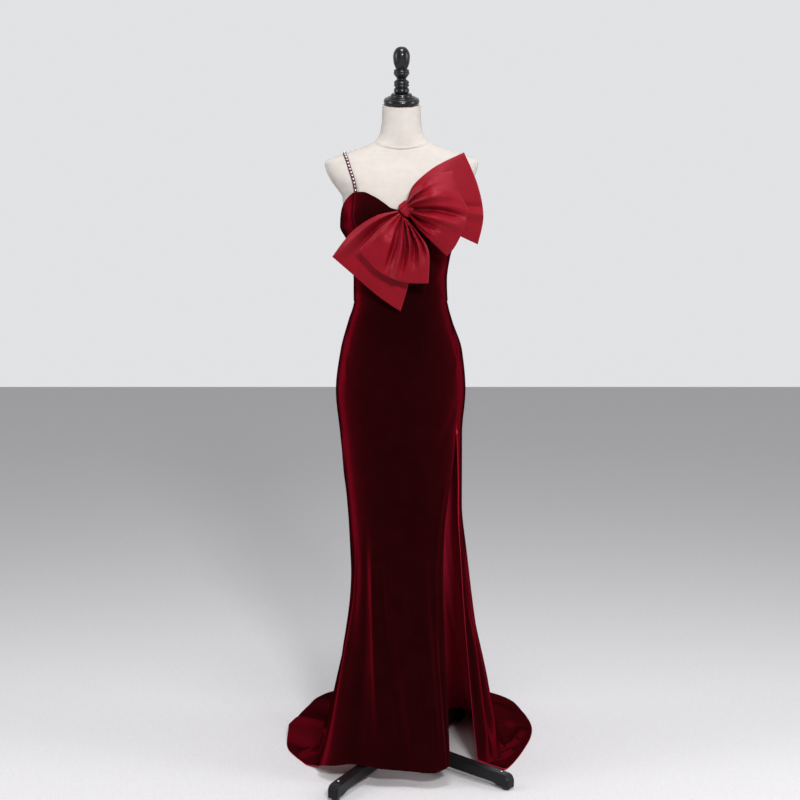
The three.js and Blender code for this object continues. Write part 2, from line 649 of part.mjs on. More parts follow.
// A wing runs from the knot (u = 0) to its rim (u = 1) and from its upper edge (v = 0) to its lower one
function wingGrid(wing, alongCount, acrossCount) {
  const line = (rows) => {
    return new THREE.CatmullRomCurve3(rows.map((p) => point(p.x, 0, p.z)), false, 'centripetal');
  };
  const [upper, lower, rim] = [line(wing.upper), line(wing.lower), line(wing.rim)];
  const rimStart = rim.getPoint(0);
  const rimEnd = rim.getPoint(1);
  return spread(0, 1, alongCount).map((u) => spread(0, 1, acrossCount).map((v) => {
    const flat = upper.getPoint(u).lerp(lower.getPoint(u), v);
    const bow = rim.getPoint(v).sub(rimStart.clone().lerp(rimEnd, v));
    flat.addScaledVector(bow, u ** 1.5);
    flat.x -= wing.side * wing.near * (1 - u) ** 3;
    const belly = wing.puff * Math.sin(Math.PI * v) ** 0.8 * smooth(0, 0.45, u) * (1 - 0.55 * u);
    const grip = 0.35 + 0.65 * smooth(0, 0.3, u);
    const fold = wing.fold * grip * (1 - smooth(0.45, 1, u) * 0.9);
    const pleat = fold * Math.cos(2 * Math.PI * wing.folds * v) * Math.sin(Math.PI * v) ** 0.5;
    const y = wingDepth(wing, flat.x, flat.z) - belly - pleat;
    return point(KNOT.x + flat.x, y, KNOT.z + flat.z);
  }));
}

function bowWing(wing) {
  return cloth(wingGrid(wing, 11, 16), PLY, -wing.side);
}

// The knot is a short band with soft pleats across it, turned along the bow
function bowKnot() {
  const across = 14;
  const around = 18;
  const rings = spread(-1, 1, across).map((s) => spread(0, 2 * Math.PI, around).slice(0, -1).map((t) => {
    const round = (1 - Math.abs(s) ** 3.2) ** (1 / 3.2);
    const pleat = 1 - 0.045 * (1 + Math.cos(9 * s));
    const grow = Math.max(0.35, round) * pleat;
    const x = Math.sign(Math.cos(t)) * Math.abs(Math.cos(t)) ** 0.8 * KNOT.wide / 2 * Math.max(0.45, round);
    const y = Math.sign(Math.sin(t)) * Math.abs(Math.sin(t)) ** 0.8 * KNOT.deep / 2 * grow;
    return point(x, y, s * KNOT.tall / 2);
  }));
  const geometry = stack(rings);
  geometry.rotateY(-rad(KNOT.turn));
  return geometry;
}

// Base

function leg() {
  const shape = new THREE.Shape();
  shape.moveTo(LEG.root, 24);
  shape.lineTo(LEG.root, LEG.hub - 3);
  shape.lineTo(LEG.reach - 16, LEG.tip - 3);
  shape.quadraticCurveTo(LEG.reach - 3, LEG.tip - 5, LEG.reach - 3, LEG.tip - 18);
  shape.lineTo(LEG.reach - 3, FOOT.height + 3.2);
  shape.lineTo(LEG.reach - 33, FOOT.height + 3.2);
  shape.quadraticCurveTo(LEG.reach - 44, 15, LEG.reach - 62, 15);
  shape.closePath();
  const bevel = 3;
  const geometry = new THREE.ExtrudeGeometry(shape, {
    depth: LEG.wide - 2 * bevel, bevelThickness: bevel, bevelSize: bevel, bevelSegments: 1, curveSegments: 4,
  });
  geometry.translate(0, 0, -(LEG.wide - 2 * bevel) / 2);
  geometry.rotateX(Math.PI / 2);
  return geometry;
}

function footPad() {
  return lathe([[0, 0], [FOOT.radius, 0], [FOOT.radius, FOOT.height - 0.1], [0, FOOT.height - 0.1]], 20);
}

function hub() {
  const { radius, bottom, top } = HUB;
  return lathe([
    [0, bottom], [radius - 3, bottom], [radius, bottom + 3], [radius, top - 6], [radius - 5, top],
    [18, top + 2], [16, top + 6], [0, top + 6],
  ], 24);
}

function pole() {
  const bottom = HUB.top + 6 + SEAM;
  const top = FORM_BOTTOM - SEAM;
  return lathe([[0, bottom], [POLE_RADIUS, bottom], [POLE_RADIUS, top], [0, top]], 28);
}

// Assembly

const model = new THREE.Group();

function add(name, geometry, finish) {
  const mesh = new THREE.Mesh(geometry, new THREE.MeshStandardMaterial(finish));
  mesh.name = name;
  model.add(mesh);
  return mesh;
}

for (const [name, geometry] of Object.entries(skirtPanels())) add(name, geometry, VELVET);
for (const [name, geometry] of Object.entries(bodicePanels())) add(name, geometry, VELVET);
add('back_zip', zipTape(), RIBBON);
add('zip_pull', zipPull(), BLACK);
add('strap', strap(), RIBBON);
for (const [name, wing] of Object.entries(WINGS)) add(name, bowWing(wing), SATIN);
const knot = add('bow_knot', bowKnot(), SATIN);
knot.position.set(KNOT.x, -gown.front(KNOT.z) - KNOT.deep / 2 - 0.8, KNOT.z);

add('form_torso', formTorso(), LINEN);
for (const [name, geometry] of [['neck_cap', neckCap()], ['finial', finial()]]) {
  const mesh = add(name, geometry, BLACK);
  mesh.position.set(0, 0, NECK_TOP);
  mesh.rotation.x = rad(NECK_TILT);
}
add('pole', pole(), BLACK);
add('hub', hub(), BLACK);
LEG.angles.forEach((angle, i) => {
  const turned = rad(angle - 90);
  add(`leg_${i + 1}`, leg(), BLACK).rotation.z = turned;
  const pad = add(`foot_${i + 1}`, footPad(), BLACK);
  pad.position.set(FOOT.at * Math.cos(turned), FOOT.at * Math.sin(turned), 0);
});

// the origin is on the floor, in the middle of the whole object's outline
const outline = new THREE.Box3().setFromObject(model, true);
const middle = outline.getCenter(new THREE.Vector3());
model.position.set(-middle.x, -middle.y, 0);

export default model;
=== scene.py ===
import math

import bpy
import numpy as np
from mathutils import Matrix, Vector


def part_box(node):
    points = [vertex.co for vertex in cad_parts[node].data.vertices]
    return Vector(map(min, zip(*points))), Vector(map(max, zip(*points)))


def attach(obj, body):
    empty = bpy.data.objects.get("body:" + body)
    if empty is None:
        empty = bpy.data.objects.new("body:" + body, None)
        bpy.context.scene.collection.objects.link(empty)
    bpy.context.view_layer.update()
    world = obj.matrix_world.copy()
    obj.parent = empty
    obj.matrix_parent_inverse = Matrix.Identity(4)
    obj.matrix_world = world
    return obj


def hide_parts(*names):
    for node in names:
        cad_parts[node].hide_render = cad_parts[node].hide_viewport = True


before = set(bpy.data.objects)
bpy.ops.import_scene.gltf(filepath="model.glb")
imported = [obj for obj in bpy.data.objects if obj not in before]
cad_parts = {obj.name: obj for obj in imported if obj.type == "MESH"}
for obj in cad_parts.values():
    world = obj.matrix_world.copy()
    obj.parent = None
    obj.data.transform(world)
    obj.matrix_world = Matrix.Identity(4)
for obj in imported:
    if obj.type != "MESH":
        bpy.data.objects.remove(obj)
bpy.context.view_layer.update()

bl_info = {
    "name": "Evening gown on a dress form",
    "version": (1, 0, 0),
    "blender": (4, 5, 0),
    "location": "3D View > Sidebar > Gown",
    "description": "Velvet mermaid gown with a satin bow, a beaded strap and a train, on a dress form",
    "category": "Add Mesh",
}

BODY = "root"
MM = 0.001

# The form's axis stands on the floor where the pole stands
POLE_LOW, POLE_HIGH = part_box("pole")
AXIS = np.array([(POLE_LOW[0] + POLE_HIGH[0]) / 2, (POLE_LOW[1] + POLE_HIGH[1]) / 2, 0.0])

# Driving sizes in millimetres, as in the solids, but with a narrower gap at the seams. EASE is the
# room between the cloth and the form.
CLOTH = 2.0
EASE = 4.5
SEAM = 0.06
WAIST = 1167.0
WAIST_RISE = 13.0
KNEE = 510.0
SLIT_TOP = 866.0
SLIT_ANGLE = 62.0
PRINCESS_TOP = 46.0
PRINCESS_WAIST = 30.0
BUST_HEIGHT, BUST_ANGLE, BUST_OUT, BUST_WIDE, BUST_TALL = 1374.0, 36.0, 16.0, 21.0, 46.0
LEG_REACH, LEG_WIDE, LEG_HUB, LEG_TIP = 362.0, 28.0, 54.0, 38.0
LEG_ANGLES = (-27.0, 47.0, 153.0, 227.0)
NECK_TOP = 1650.0
NECK_TILT = math.radians(13)
FORM_BOTTOM = 850.0


def table(names, *rows):
    """Columns of a short table, by name."""
    values = np.array(rows, float)
    return {name: values[:, i] for i, name in enumerate(names.split())}


# Outside of the gown: half widths and depths of its rings. n is the squareness of the ring.
GOWN = table(
    "z left right front back n",
    (510, 125, 166, 113, 130, 2.3),
    (668, 137, 152, 108, 112, 2.3),
    (841, 154, 152, 111, 118, 2.3),
    (947, 164, 160, 113, 127, 2.3),
    (1047, 152, 151, 108, 118, 2.2),
    (1122, 132, 126, 97, 98, 2.15),
    (1167, 119, 115, 89, 85, 2.1),
    (1221, 119, 113, 91, 84, 2.1),
    (1275, 123, 120, 97, 88, 2.1),
    (1320, 136, 134, 106, 94, 2.15),
    (1354, 152, 150, 114, 97, 2.2),
    (1396, 152, 152, 115, 97, 2.2),
    (1438, 151, 151, 106, 94, 2.2),
    (1460, 150, 150, 100, 92, 2.2),
)

# Top edge of the bodice by the angle from the centre front
NECKLINE = table(
    "angle z",
    (0, 1394), (7, 1398), (14, 1412), (24, 1428), (36, 1438), (46, 1437), (57, 1425), (69, 1407),
    (81, 1382), (90, 1358), (108, 1346), (180, 1338),
)

# The two edges of the slit, by height
SLIT = table(
    "z front side",
    (510, 35, 63), (594, 39.6, 66), (690, 47.6, 68.5), (780, 55.6, 66.5), (866, 61.7, 62.3),
)

# Hems: where each column of the skirt ends, how far out it has come down, how steeply it ends,
# and how far it leans out below the knee
FRONT_HEM = table(
    "at x y z land rise sway",
    (-90, -242, -60, CLOTH, 0.62, 0, -8),
    (-80, -208, -104, 12, 0.97, 50, -5),
    (-70, -198, -150, 28, 1, 110, 1),
    (-50, -136, -203, 44, 1, 150, 10),
    (-25, -62, -224, 46, 1, 150, 12),
    (5, 20, -235, 42, 1, 150, 12),
    (34, 83, -242, 41, 1, 150, 12),
    (62, 119, -217, 51, 1, 150, 10),
)
BACK_HEM = table(
    "at x y z land rise sway",
    (62, 256, -116, CLOTH, 0.45, 0, 8),
    (75, 288, -36, CLOTH, 0.57, 0, 13),
    (90, 318, 60, CLOTH, 0.63, 0, 14),
    (106, 344, 165, CLOTH, 0.61, 0, 13),
    (122, 353, 262, CLOTH, 0.57, 0, 10),
    (137, 339, 385, CLOTH, 0.55, 0, 14),
    (150, 303, 520, CLOTH, 0.53, 0, 18),
    (163, 205, 614, CLOTH, 0.54, 0, 22),
    (178, 50, 640, CLOTH, 0.55, 0, 24),
    (194, -105, 634, CLOTH, 0.55, 0, 22),
    (207, -212, 576, CLOTH, 0.56, 0, 18),
    (220, -262, 445, CLOTH, 0.58, 0, 12),
    (234, -290, 320, CLOTH, 0.58, 0, 3),
    (248, -302, 190, CLOTH, 0.56, 0, -4),
    (260, -294, 62, CLOTH, 0.55, 0, -7),
    (270, -242, -60, CLOTH, 0.62, 0, -8),
)

# Flutes and troughs of the flare, as in the solids: width in degrees, height at the hem,
# start and end down from the knee
FLUTES = table(
    "at wide high start end",
    (-62, 9, 7, 0.15, 1.2), (-40, 8, -5, 0.25, 1.2), (-18, 8, 5, 0.2, 1.2), (2, 7, -4, 0.3, 1.2),
    (22, 7, 5, 0.25, 1.2), (42, 7, -4, 0.3, 1.2), (71, 4.5, 12, 0.1, 0.95), (80, 4, -8, 0.2, 0.9),
    (88, 4.5, 9, 0.2, 0.9), (108, 7, -9, 0.1, 0.75), (124, 6, 11, 0.05, 0.8), (140, 6, -11, 0.05, 0.8),
    (156, 6, 12, 0.05, 0.8), (172, 6, -11, 0.1, 0.8), (188, 6, 12, 0.05, 0.8), (204, 6, -10, 0.1, 0.8),
    (220, 6, 11, 0.05, 0.8), (236, 6, -7, 0.1, 0.75), (250, 5, 3, 0.2, 0.8), (261, 4, -8, 0.35, 0.95),
)

# Soft creases of the skirt: each runs between two places, given by the column's
# angle and the distance down from the waist, with its width and height
SKIRT_CREASES = table(
    "at0 down0 at1 down1 wide high",
    (-84, 20, -60, 150, 16, -1.6), (-78, 60, -50, 210, 14, 1.3), (86, 24, 60, 130, 15, -1.6),
    (80, 70, 52, 190, 13, 1.2), (-70, 330, -88, 470, 18, 1.5), (58, 240, 30, 420, 18, -1.3),
    (-30, 560, -36, 1040, 20, -3.4), (-20, 620, -22, 1120, 13, 3.6), (-6, 640, 0, 1160, 12, -3.2),
    (8, 700, 10, 1160, 12, 3.2), (24, 660, 26, 1150, 14, -3.4), (40, 620, 42, 1150, 12, 3.8),
    (53, 800, 54, 1150, 8, -3.0), (54, 430, 50, 900, 10, 1.8), (-56, 600, -64, 1100, 15, 3.2),
    (-76, 640, -80, 1060, 13, -2.6), (-86, 560, -84, 1000, 12, 2.2),
    (66, 520, 68, 1080, 8, 3.0), (76, 600, 76, 1110, 9, -3.4), (84, 560, 83, 1060, 9, 2.6),
    (95, 700, 99, 1150, 13, -3.2), (113, 640, 117, 1120, 13, 2.6), (131, 560, 133, 1150, 14, -2.8),
    (147, 620, 149, 1120, 14, 2.6), (164, 560, 165, 1200, 14, 2.4), (181, 640, 180, 1180, 13, -2.8),
    (197, 580, 196, 1160, 14, 2.6), (212, 620, 211, 1130, 13, -2.8), (229, 560, 228, 1080, 13, 2.6),
    (243, 640, 246, 1060, 12, 3.0), (256, 620, 262, 1020, 11, 3.4), (266, 640, 268, 1060, 9, -2.6),
    (78, 1180, 92, 1215, 9, 9.0), (84, 1225, 100, 1240, 8, -5.0), (90, 1160, 106, 1236, 10, 8.0),
    (104, 1210, 122, 1290, 13, 8.0), (128, 1260, 150, 1390, 18, 5.0), (160, 1300, 172, 1500, 22, 5.0),
    (186, 1290, 178, 1480, 20, -4.0), (206, 1280, 214, 1440, 20, 5.0), (232, 1230, 238, 1350, 14, 5.0),
    (252, 1130, 262, 1205, 8, 11.0), (262, 1140, 268, 1120, 7, 9.0), (258, 1180, 264, 1235, 7, 9.0),
    (246, 1170, 256, 1240, 9, -4.0),
)

BODICE_CREASES = table(
    "at0 down0 at1 down1 wide high",
    (-58, 40, -30, 95, 12, 1.2), (-70, 96, -44, 150, 12, -1.2), (-84, 150, -58, 196, 11, 1.1),
    (64, 90, 40, 160, 12, 1.2), (84, 150, 58, 205, 11, -1.2), (88, 190, 66, 232, 10, 1.2),
    (128, 80, 160, 130, 14, 1.2), (-128, 80, -160, 130, 14, 1.2), (118, 150, 150, 190, 12, -1.2),
    (-118, 150, -150, 190, 12, -1.2),
)

# The dress form above the gown. tilt is how much of the neck's lean the ring takes.
FORM_TOP = table(
    "z wide front back n tilt",
    (1396, 144, 108, 90, 2.2, 0), (1425, 146, 99, 88, 2.2, 0), (1443, 157, 92, 86, 2.25, 0),
    (1465, 173, 83, 83, 2.4, 0), (1492, 186, 69, 75, 2.5, 0), (1508, 189, 60, 68, 2.5, 0),
    (1517, 182, 56, 64, 2.4, 0), (1527, 158, 52, 61, 2.2, 0), (1540, 118, 49, 58, 2, 0.1),
    (1553, 82, 48, 55, 2, 0.2), (1566, 62, 48, 52, 2, 0.4), (1585, 52, 48, 50, 2, 0.6),
    (1615, 48, 47, 48, 2, 0.9), (NECK_TOP, 47, 47, 47, 2, 1),
)

STRAP_ROUTE = table(
    "t x turn off",
    (0, -111, -92.3, 5), (0.12, -116, -72, 2.4), (0.3, -128, -42, 1), (0.42, -140, -8, 1),
    (0.55, -139, 30, 1), (0.75, -122, 84, 1.4), (1, -98, 142.25, 4.8),
)

# Bow wings from the knot's middle: x to the right and z up, edges from the knot outwards
KNOT_X, KNOT_Z, KNOT_TURN = 5.0, 1391.0, 38.0
KNOT_WIDE, KNOT_TALL, KNOT_DEEP, KNOT_ASIDE = 26.0, 36.0, 28.0, 9.0
PLY = 3.0
WINGS = {
    "bow_back_right": {
        "side": 1, "near": 7, "depth": 4, "out": 0, "puff": 7, "stand": 26,
        "lean": 0.0009,
        "upper": ((13, 22), (26, 62), (74, 105), (144, 140)),
        "rim": ((144, 140), (178, 62), (192, -12), (179, -80)),
        "lower": ((20, -6), (70, -22), (120, -52), (179, -80)),
    },
    "bow_front_right": {
        "side": 1, "near": 8, "depth": -7, "out": 22, "puff": 13, "stand": 30,
        "lean": 0.0007,
        "upper": ((15, 22), (30, 50), (68, 84), (117, 96)),
        "rim": (
            (117, 96), (120, 72), (126, 49), (142, 25), (151, 6),
            (150, -16), (141, -46), (122, -84), (103, -107),
        ),
        "lower": ((21, -12), (38, -42), (70, -76), (103, -107)),
    },
    "bow_back_left": {
        "side": -1, "near": 6, "depth": 4, "out": 0, "puff": 7, "stand": 24,
        "lean": 0.0009,
        "upper": ((-19, 2), (-72, -12), (-126, -50), (-173, -109)),
        "rim": ((-173, -109), (-118, -156), (-60, -205), (-7, -241)),
        "lower": ((-4, -26), (8, -90), (14, -160), (-7, -241)),
    },
    "bow_front_left": {
        "side": -1, "near": 6, "depth": -7, "out": 24, "puff": 15, "stand": 28,
        "lean": 0.0007,
        "upper": ((-16, -4), (-48, -30), (-78, -60), (-107, -93)),
        "rim": ((-107, -93), (-60, -142), (0, -168), (60, -171)),
        "lower": ((4, -24), (34, -52), (60, -96), (60, -171)),
    },
}


# Curves through tables

def steady(columns, key, name):
    """Cubic pieces through a column, with harmonic slopes so that they never overshoot."""
    x, y = columns[key], columns[name]
    rate = np.diff(y) / np.diff(x)
    inner = np.where(rate[:-1] * rate[1:] > 0, 2 * rate[:-1] * rate[1:] / (rate[:-1] + rate[1:] + 1e-12), 0)
    slope = np.concatenate([rate[:1], inner, rate[-1:]])

    def at(s):
        s = np.clip(np.asarray(s, float), x[0], x[-1])
        i = np.clip(np.searchsorted(x, s, side="right") - 1, 0, len(x) - 2)
        step = x[i + 1] - x[i]
        t = (s - x[i]) / step
        keep = (1 + 2 * t) * (1 - t) ** 2 * y[i] + t * t * (3 - 2 * t) * y[i + 1]
        return keep + step * (t * (1 - t) ** 2 * slope[i] + t * t * (t - 1) * slope[i + 1])

    return at


def flowing(columns, key, name):
    """Cubic pieces through a column whose slope at a row joins the rows on either side."""
    x, y = columns[key], columns[name]
    last = len(x) - 1

    def at(s):
        s = np.clip(np.asarray(s, float), x[0], x[-1])
        i = np.clip(np.searchsorted(x, s, side="right") - 1, 0, last - 1)
        t = (s - x[i]) / (x[i + 1] - x[i])
        before, after = y[np.maximum(i - 1, 0)], y[np.minimum(i + 2, last)]
        bend = (2 * t * t - t ** 3 - t) * before + (t ** 3 - t * t) * after
        hold = (3 * t ** 3 - 5 * t * t + 2) * y[i] + (4 * t * t - 3 * t ** 3 + t) * y[i + 1]
        return (bend + hold) / 2

    return at


def curves(columns, key, make):
    return {name: make(columns, key, name) for name in columns if name != key}


gown = curves(GOWN, "z", steady)
slit = curves(SLIT, "z", steady)
neckline = steady(NECKLINE, "angle", "z")
form_top = curves(FORM_TOP, "z", steady)
front_hem = curves(FRONT_HEM, "at", flowing)
back_hem = curves(BACK_HEM, "at", flowing)
strap_route = curves(STRAP_ROUTE, "t", steady)


def smooth(low, high, x):
    """From 0 at low to 1 at high: 3 t squared less 2 t cubed."""
    t = np.clip((np.asarray(x, float) - low) / (high - low), 0, 1)
    return t * t * (3 - 2 * t)


def bell(x):
    """e to the power of minus x squared."""
    return np.exp(-np.square(x))


def unit(v):
    """Vectors divided by their lengths."""
    return v / np.maximum(np.linalg.norm(v, axis=-1, keepdims=True), 1e-9)


def running(points, axis):
    """Distance from the first point along an axis of a grid, or along a path."""
    step = np.linalg.norm(np.diff(points, axis=axis), axis=-1)
    return np.concatenate([np.zeros_like(np.take(step, [0], axis)), np.cumsum(step, axis=axis)], axis=axis)


def walk(path, length, want):
    """Points of a path at the wanted distances along it."""
    return np.stack([np.interp(want, length, path[:, k]) for k in range(3)], -1)


def layers(columns):
    """A table's columns with one layer for each row, to be reckoned with a whole grid at once."""
    return {name: column[:, None, None] for name, column in columns.items()}


# Surfaces

def on_ring(angle, left, right, front, back, n):
    """Ring: sine and cosine of the angle, each to the power 2/n, times the half width and depth."""
    s, c = np.sin(np.radians(angle)), np.cos(np.radians(angle))
    x = np.sign(s) * np.abs(s) ** (2 / n) * np.where(s < 0, left, right)
    y = -np.sign(c) * np.abs(c) ** (2 / n) * np.where(c < 0, back, front)
    return x, y


def with_cups(angle, z, x, y):
    """Pushes the ring out by a bell over each cup's angle and height."""
    turn = (angle + 180) % 360 - 180
    cup = bell((np.abs(turn) - BUST_ANGLE) / BUST_WIDE) * bell((z - BUST_HEIGHT) / BUST_TALL)
    grow = 1 + BUST_OUT * cup / np.hypot(x, y)
    return np.stack([x * grow, y * grow, z + 0 * x], -1)


def gown_points(angle, z, inset=0.0):
    """The gown's outside at angles and heights, in millimetres from the form's axis."""
    angle, z = np.broadcast_arrays(np.asarray(angle, float), np.asarray(z, float))
    size = [gown[name](z) - inset for name in ("left", "right", "front", "back")]
    x, y = on_ring(angle, *size, gown["n"](z))
    return with_cups(angle, z, x, y)


def waist_height(angle):
    return WAIST + WAIST_RISE * np.maximum(0, np.cos(np.radians(angle))) ** 2


def normals_of(grid, side):
    """Cross product of the grid's two directions, from its neighbours."""
    return unit(np.cross(np.gradient(grid, axis=0), np.gradient(grid, axis=1)) * side)


def arc_lengths(grid):
    """UV in metres: distance along the middle row, and distance down each column."""
    u = running(grid[:, grid.shape[1] // 2], 0)[:, None] + np.zeros(grid.shape[1])
    return np.stack([u, running(grid, 1)], -1) * MM


def crease_heights(at, down, creases, degree):
    """Sum of capsule-shaped bells: each falls off with the distance from its line."""
    c = layers(creases)
    px, py = (at - c["at0"]) * degree, down - c["down0"]
    dx, dy = (c["at1"] - c["at0"]) * degree, c["down1"] - c["down0"]
    t = (px * dx + py * dy) / (dx * dx + dy * dy)
    ends = smooth(-0.08, 0.25, t) * (1 - smooth(0.75, 1.08, t))
    t = np.clip(t, 0, 1)
    away = np.hypot(px - t * dx, py - t * dy)
    return (c["high"] * bell(away / c["wide"]) * ends).sum(0)


# Meshes

def quads_of(count_u, count_v, offset=0, flip=False):
    """Faces between the neighbouring points of a grid."""
    i = np.arange(count_u - 1)[:, None]
    j = np.arange(count_v - 1)[None, :]
    a = offset + i * count_v + j
    faces = np.stack([a, a + count_v, a + count_v + 1, a + 1], -1).reshape(-1, 4)
    return faces[:, ::-1] if flip else faces


def quads_round(count, around):
    """Faces of a tube of stacked rings."""
    k = np.arange(count - 1)[:, None] * around
    i = np.arange(around)[None, :]
    after = (i + 1) % around
    return np.stack([k + i, k + after, k + after + around, k + i + around], -1).reshape(-1, 4)


def repeated(faces, size, count):
    """The faces of one shape of a given number of points, for each of its copies."""
    offsets = (np.arange(count) * size)[:, None, None]
    return (faces[None] + offsets).reshape(-1, faces.shape[1])


def new_mesh(name, points, faces, uv=None):
    """A mesh object from arrays of points in millimetres and of faces with equal corners."""
    mesh = bpy.data.meshes.new(name)
    faces = np.asarray(faces, np.int32)
    corners = faces.shape[1]
    mesh.vertices.add(len(points))
    mesh.vertices.foreach_set("co", (points * MM + AXIS).astype(np.float32).ravel())
    mesh.loops.add(faces.size)
    mesh.loops.foreach_set("vertex_index", faces.ravel())
    mesh.polygons.add(len(faces))
    mesh.polygons.foreach_set("loop_start", np.arange(0, faces.size, corners, dtype=np.int32))
    mesh.update(calc_edges=True)
    if uv is not None:
        layer = mesh.uv_layers.new(name="UVMap")
        layer.data.foreach_set("uv", uv[faces.ravel()].astype(np.float32).ravel())
    mesh.polygons.foreach_set("use_smooth", np.ones(len(faces), bool))
    mesh.set_sharp_from_angle(angle=math.radians(55))
    piece = bpy.data.objects.new(name, mesh)
    bpy.context.scene.collection.objects.link(piece)
    return piece


def wall(name, outer, thickness, side, normals=None):
    """A closed wall: the outer grid, the same grid moved in along its normals, and a rim round both."""
    if normals is None:
        normals = normals_of(outer, side)
    inner = outer - normals * thickness
    inner[..., 2] = np.maximum(inner[..., 2], 0.0)
    nu, nv = outer.shape[:2]
    size = nu * nv
    out = np.arange(size).reshape(nu, nv)
    ring = np.concatenate([out[:, 0], out[-1, 1:], out[-2::-1, -1], out[0, -2:0:-1]])
    after = np.roll(ring, -1)
    rim = np.stack([after, ring, ring + size, after + size], -1)
    faces = np.concatenate([quads_of(nu, nv), quads_of(nu, nv, size, flip=True), rim])
    if side < 0:
        faces = faces[:, ::-1]
    points = np.concatenate([outer.reshape(-1, 3), inner.reshape(-1, 3)])
    uv = arc_lengths(outer).reshape(-1, 2)
    piece = new_mesh(name, points, faces, np.concatenate([uv, uv]))
    piece["outer_faces"] = (nu - 1) * (nv - 1)
    return piece


def declare(outer):
    """Works out a wall's longest row and longest column, in metres, and does nothing more with them."""
    flat = (float(running(outer, 0)[-1].max()) * MM, float(running(outer, 1)[:, -1].max()) * MM)


def tube_mesh(name, rings):
    """A solid of stacked closed rings. Each end is closed by faces drawn to its middle."""
    count, around = rings.shape[:2]
    points = np.concatenate([rings.reshape(-1, 3), rings[[0, -1]].mean(1)])
    a, b = len(points) - 2, len(points) - 1
    j = np.arange(0, around, 2)
    base = (count - 1) * around
    low_cap = np.stack([np.full(len(j), a), (j + 2) % around, (j + 1) % around, j], -1)
    nearer, farther = base + (j + 1) % around, base + (j + 2) % around
    high_cap = np.stack([np.full(len(j), b), base + j, nearer, farther], -1)
    faces = np.concatenate([quads_round(count, around), low_cap, high_cap])
    length = np.linalg.norm(np.diff(rings, axis=0), axis=-1).mean(1)
    v = np.concatenate([[0], np.cumsum(length)])[:, None] + np.zeros(around)
    girth = np.linalg.norm(rings - np.roll(rings, 1, axis=1), axis=-1).sum(1).max()
    u = np.zeros(count)[:, None] + np.abs(np.arange(around) / around - 0.5) * girth
    uv = np.stack([u, v], -1).reshape(-1, 2) * MM
    return new_mesh(name, points, faces, np.concatenate([uv, np.zeros((2, 2))]))


# Materials

def shader(name, **sockets):
    """A material, its node tree and its shader with values on its own sockets."""
    material = bpy.data.materials.new(name)
    material.use_nodes = True
    tree = material.node_tree
    return material, tree, with_values(tree.nodes["Principled BSDF"], sockets)


def with_values(item, sockets):
    for key, value in sockets.items():
        item.inputs[key.replace("_", " ")].default_value = value
    return item


def node(tree, kind, source=None, **sockets):
    """A new node with values on its sockets, its first one fed by a source."""
    item = with_values(tree.nodes.new(kind), sockets)
    if source is not None:
        tree.links.new(source, item.inputs[0])
    return item


def noise(tree, place, scale, detail):
    return node(tree, "ShaderNodeTexNoise", place, Scale=scale, Detail=detail).outputs["Fac"]


def shade(colour, share):
    return tuple(c * share for c in colour)


def mottle(tree, principled, grains, dark, light):
    """A base colour that wanders between two tones with the grains."""
    ramp = node(tree, "ShaderNodeValToRGB", grains)
    for stop, place, tone in zip(ramp.color_ramp.elements, (0.3, 0.7), (dark, light)):
        stop.position = place
        stop.color = (*tone, 1)
    tree.links.new(ramp.outputs["Color"], principled.inputs["Base Color"])


def add_bump(tree, principled, height, strength, distance):
    bump = node(tree, "ShaderNodeBump", Strength=strength, Distance=distance)
    tree.links.new(height, bump.inputs["Height"])
    tree.links.new(bump.outputs["Normal"], principled.inputs["Normal"])


def relief(tree, first, share, second):
    """The first height times its share, plus the second."""
    both = node(tree, "ShaderNodeMath", first)
    both.operation = "MULTIPLY_ADD"
    both.inputs[1].default_value = share
    tree.links.new(second, both.inputs[2])
    return both.outputs[0]


def pile_shine(tree, pile):
    """Tint of the pile by how far the surface turns from the view: strongest in a band near the
    edge, and dark again at the outermost edge, where the pile's tips hide each other."""
    weight = node(tree, "ShaderNodeLayerWeight", Blend=0.5)
    ramp = node(tree, "ShaderNodeValToRGB", weight.outputs["Facing"])
    stops = ramp.color_ramp.elements
    shares = ((0.0, 0.24), (0.3, 0.46), (0.45, 0.85), (0.55, 0.6), (0.66, 0.15), (0.76, 0.04), (0.95, 0.02))
    for place, share in shares:
        stop = stops[0] if place == 0 else stops.new(place)
        stop.color = (*shade(pile, share), 1)
    stops.remove(stops[-1])
    return ramp.outputs["Color"]


def velvet(colours):
    """Dark pile: almost black red seen straight on, bright where it is seen along the surface."""
    material, tree, principled = shader(
        "velvet_burgundy", Roughness=0.75, Specular_IOR_Level=0.0, Sheen_Weight=1.0, Sheen_Roughness=0.5)
    place = tree.nodes.new("ShaderNodeTexCoord").outputs["Object"]
    base = tuple(colours.velvet)
    mottle(tree, principled, noise(tree, place, 24.0, 6.0), shade(base, 0.86), shade(base, 1.16))
    tree.links.new(pile_shine(tree, colours.velvet_pile), principled.inputs["Sheen Tint"])
    brushed, pile = noise(tree, place, 38.0, 5.0), noise(tree, place, 1400.0, 3.0)
    add_bump(tree, principled, relief(tree, brushed, 2.2, pile), 0.35, 0.0006)
    return material


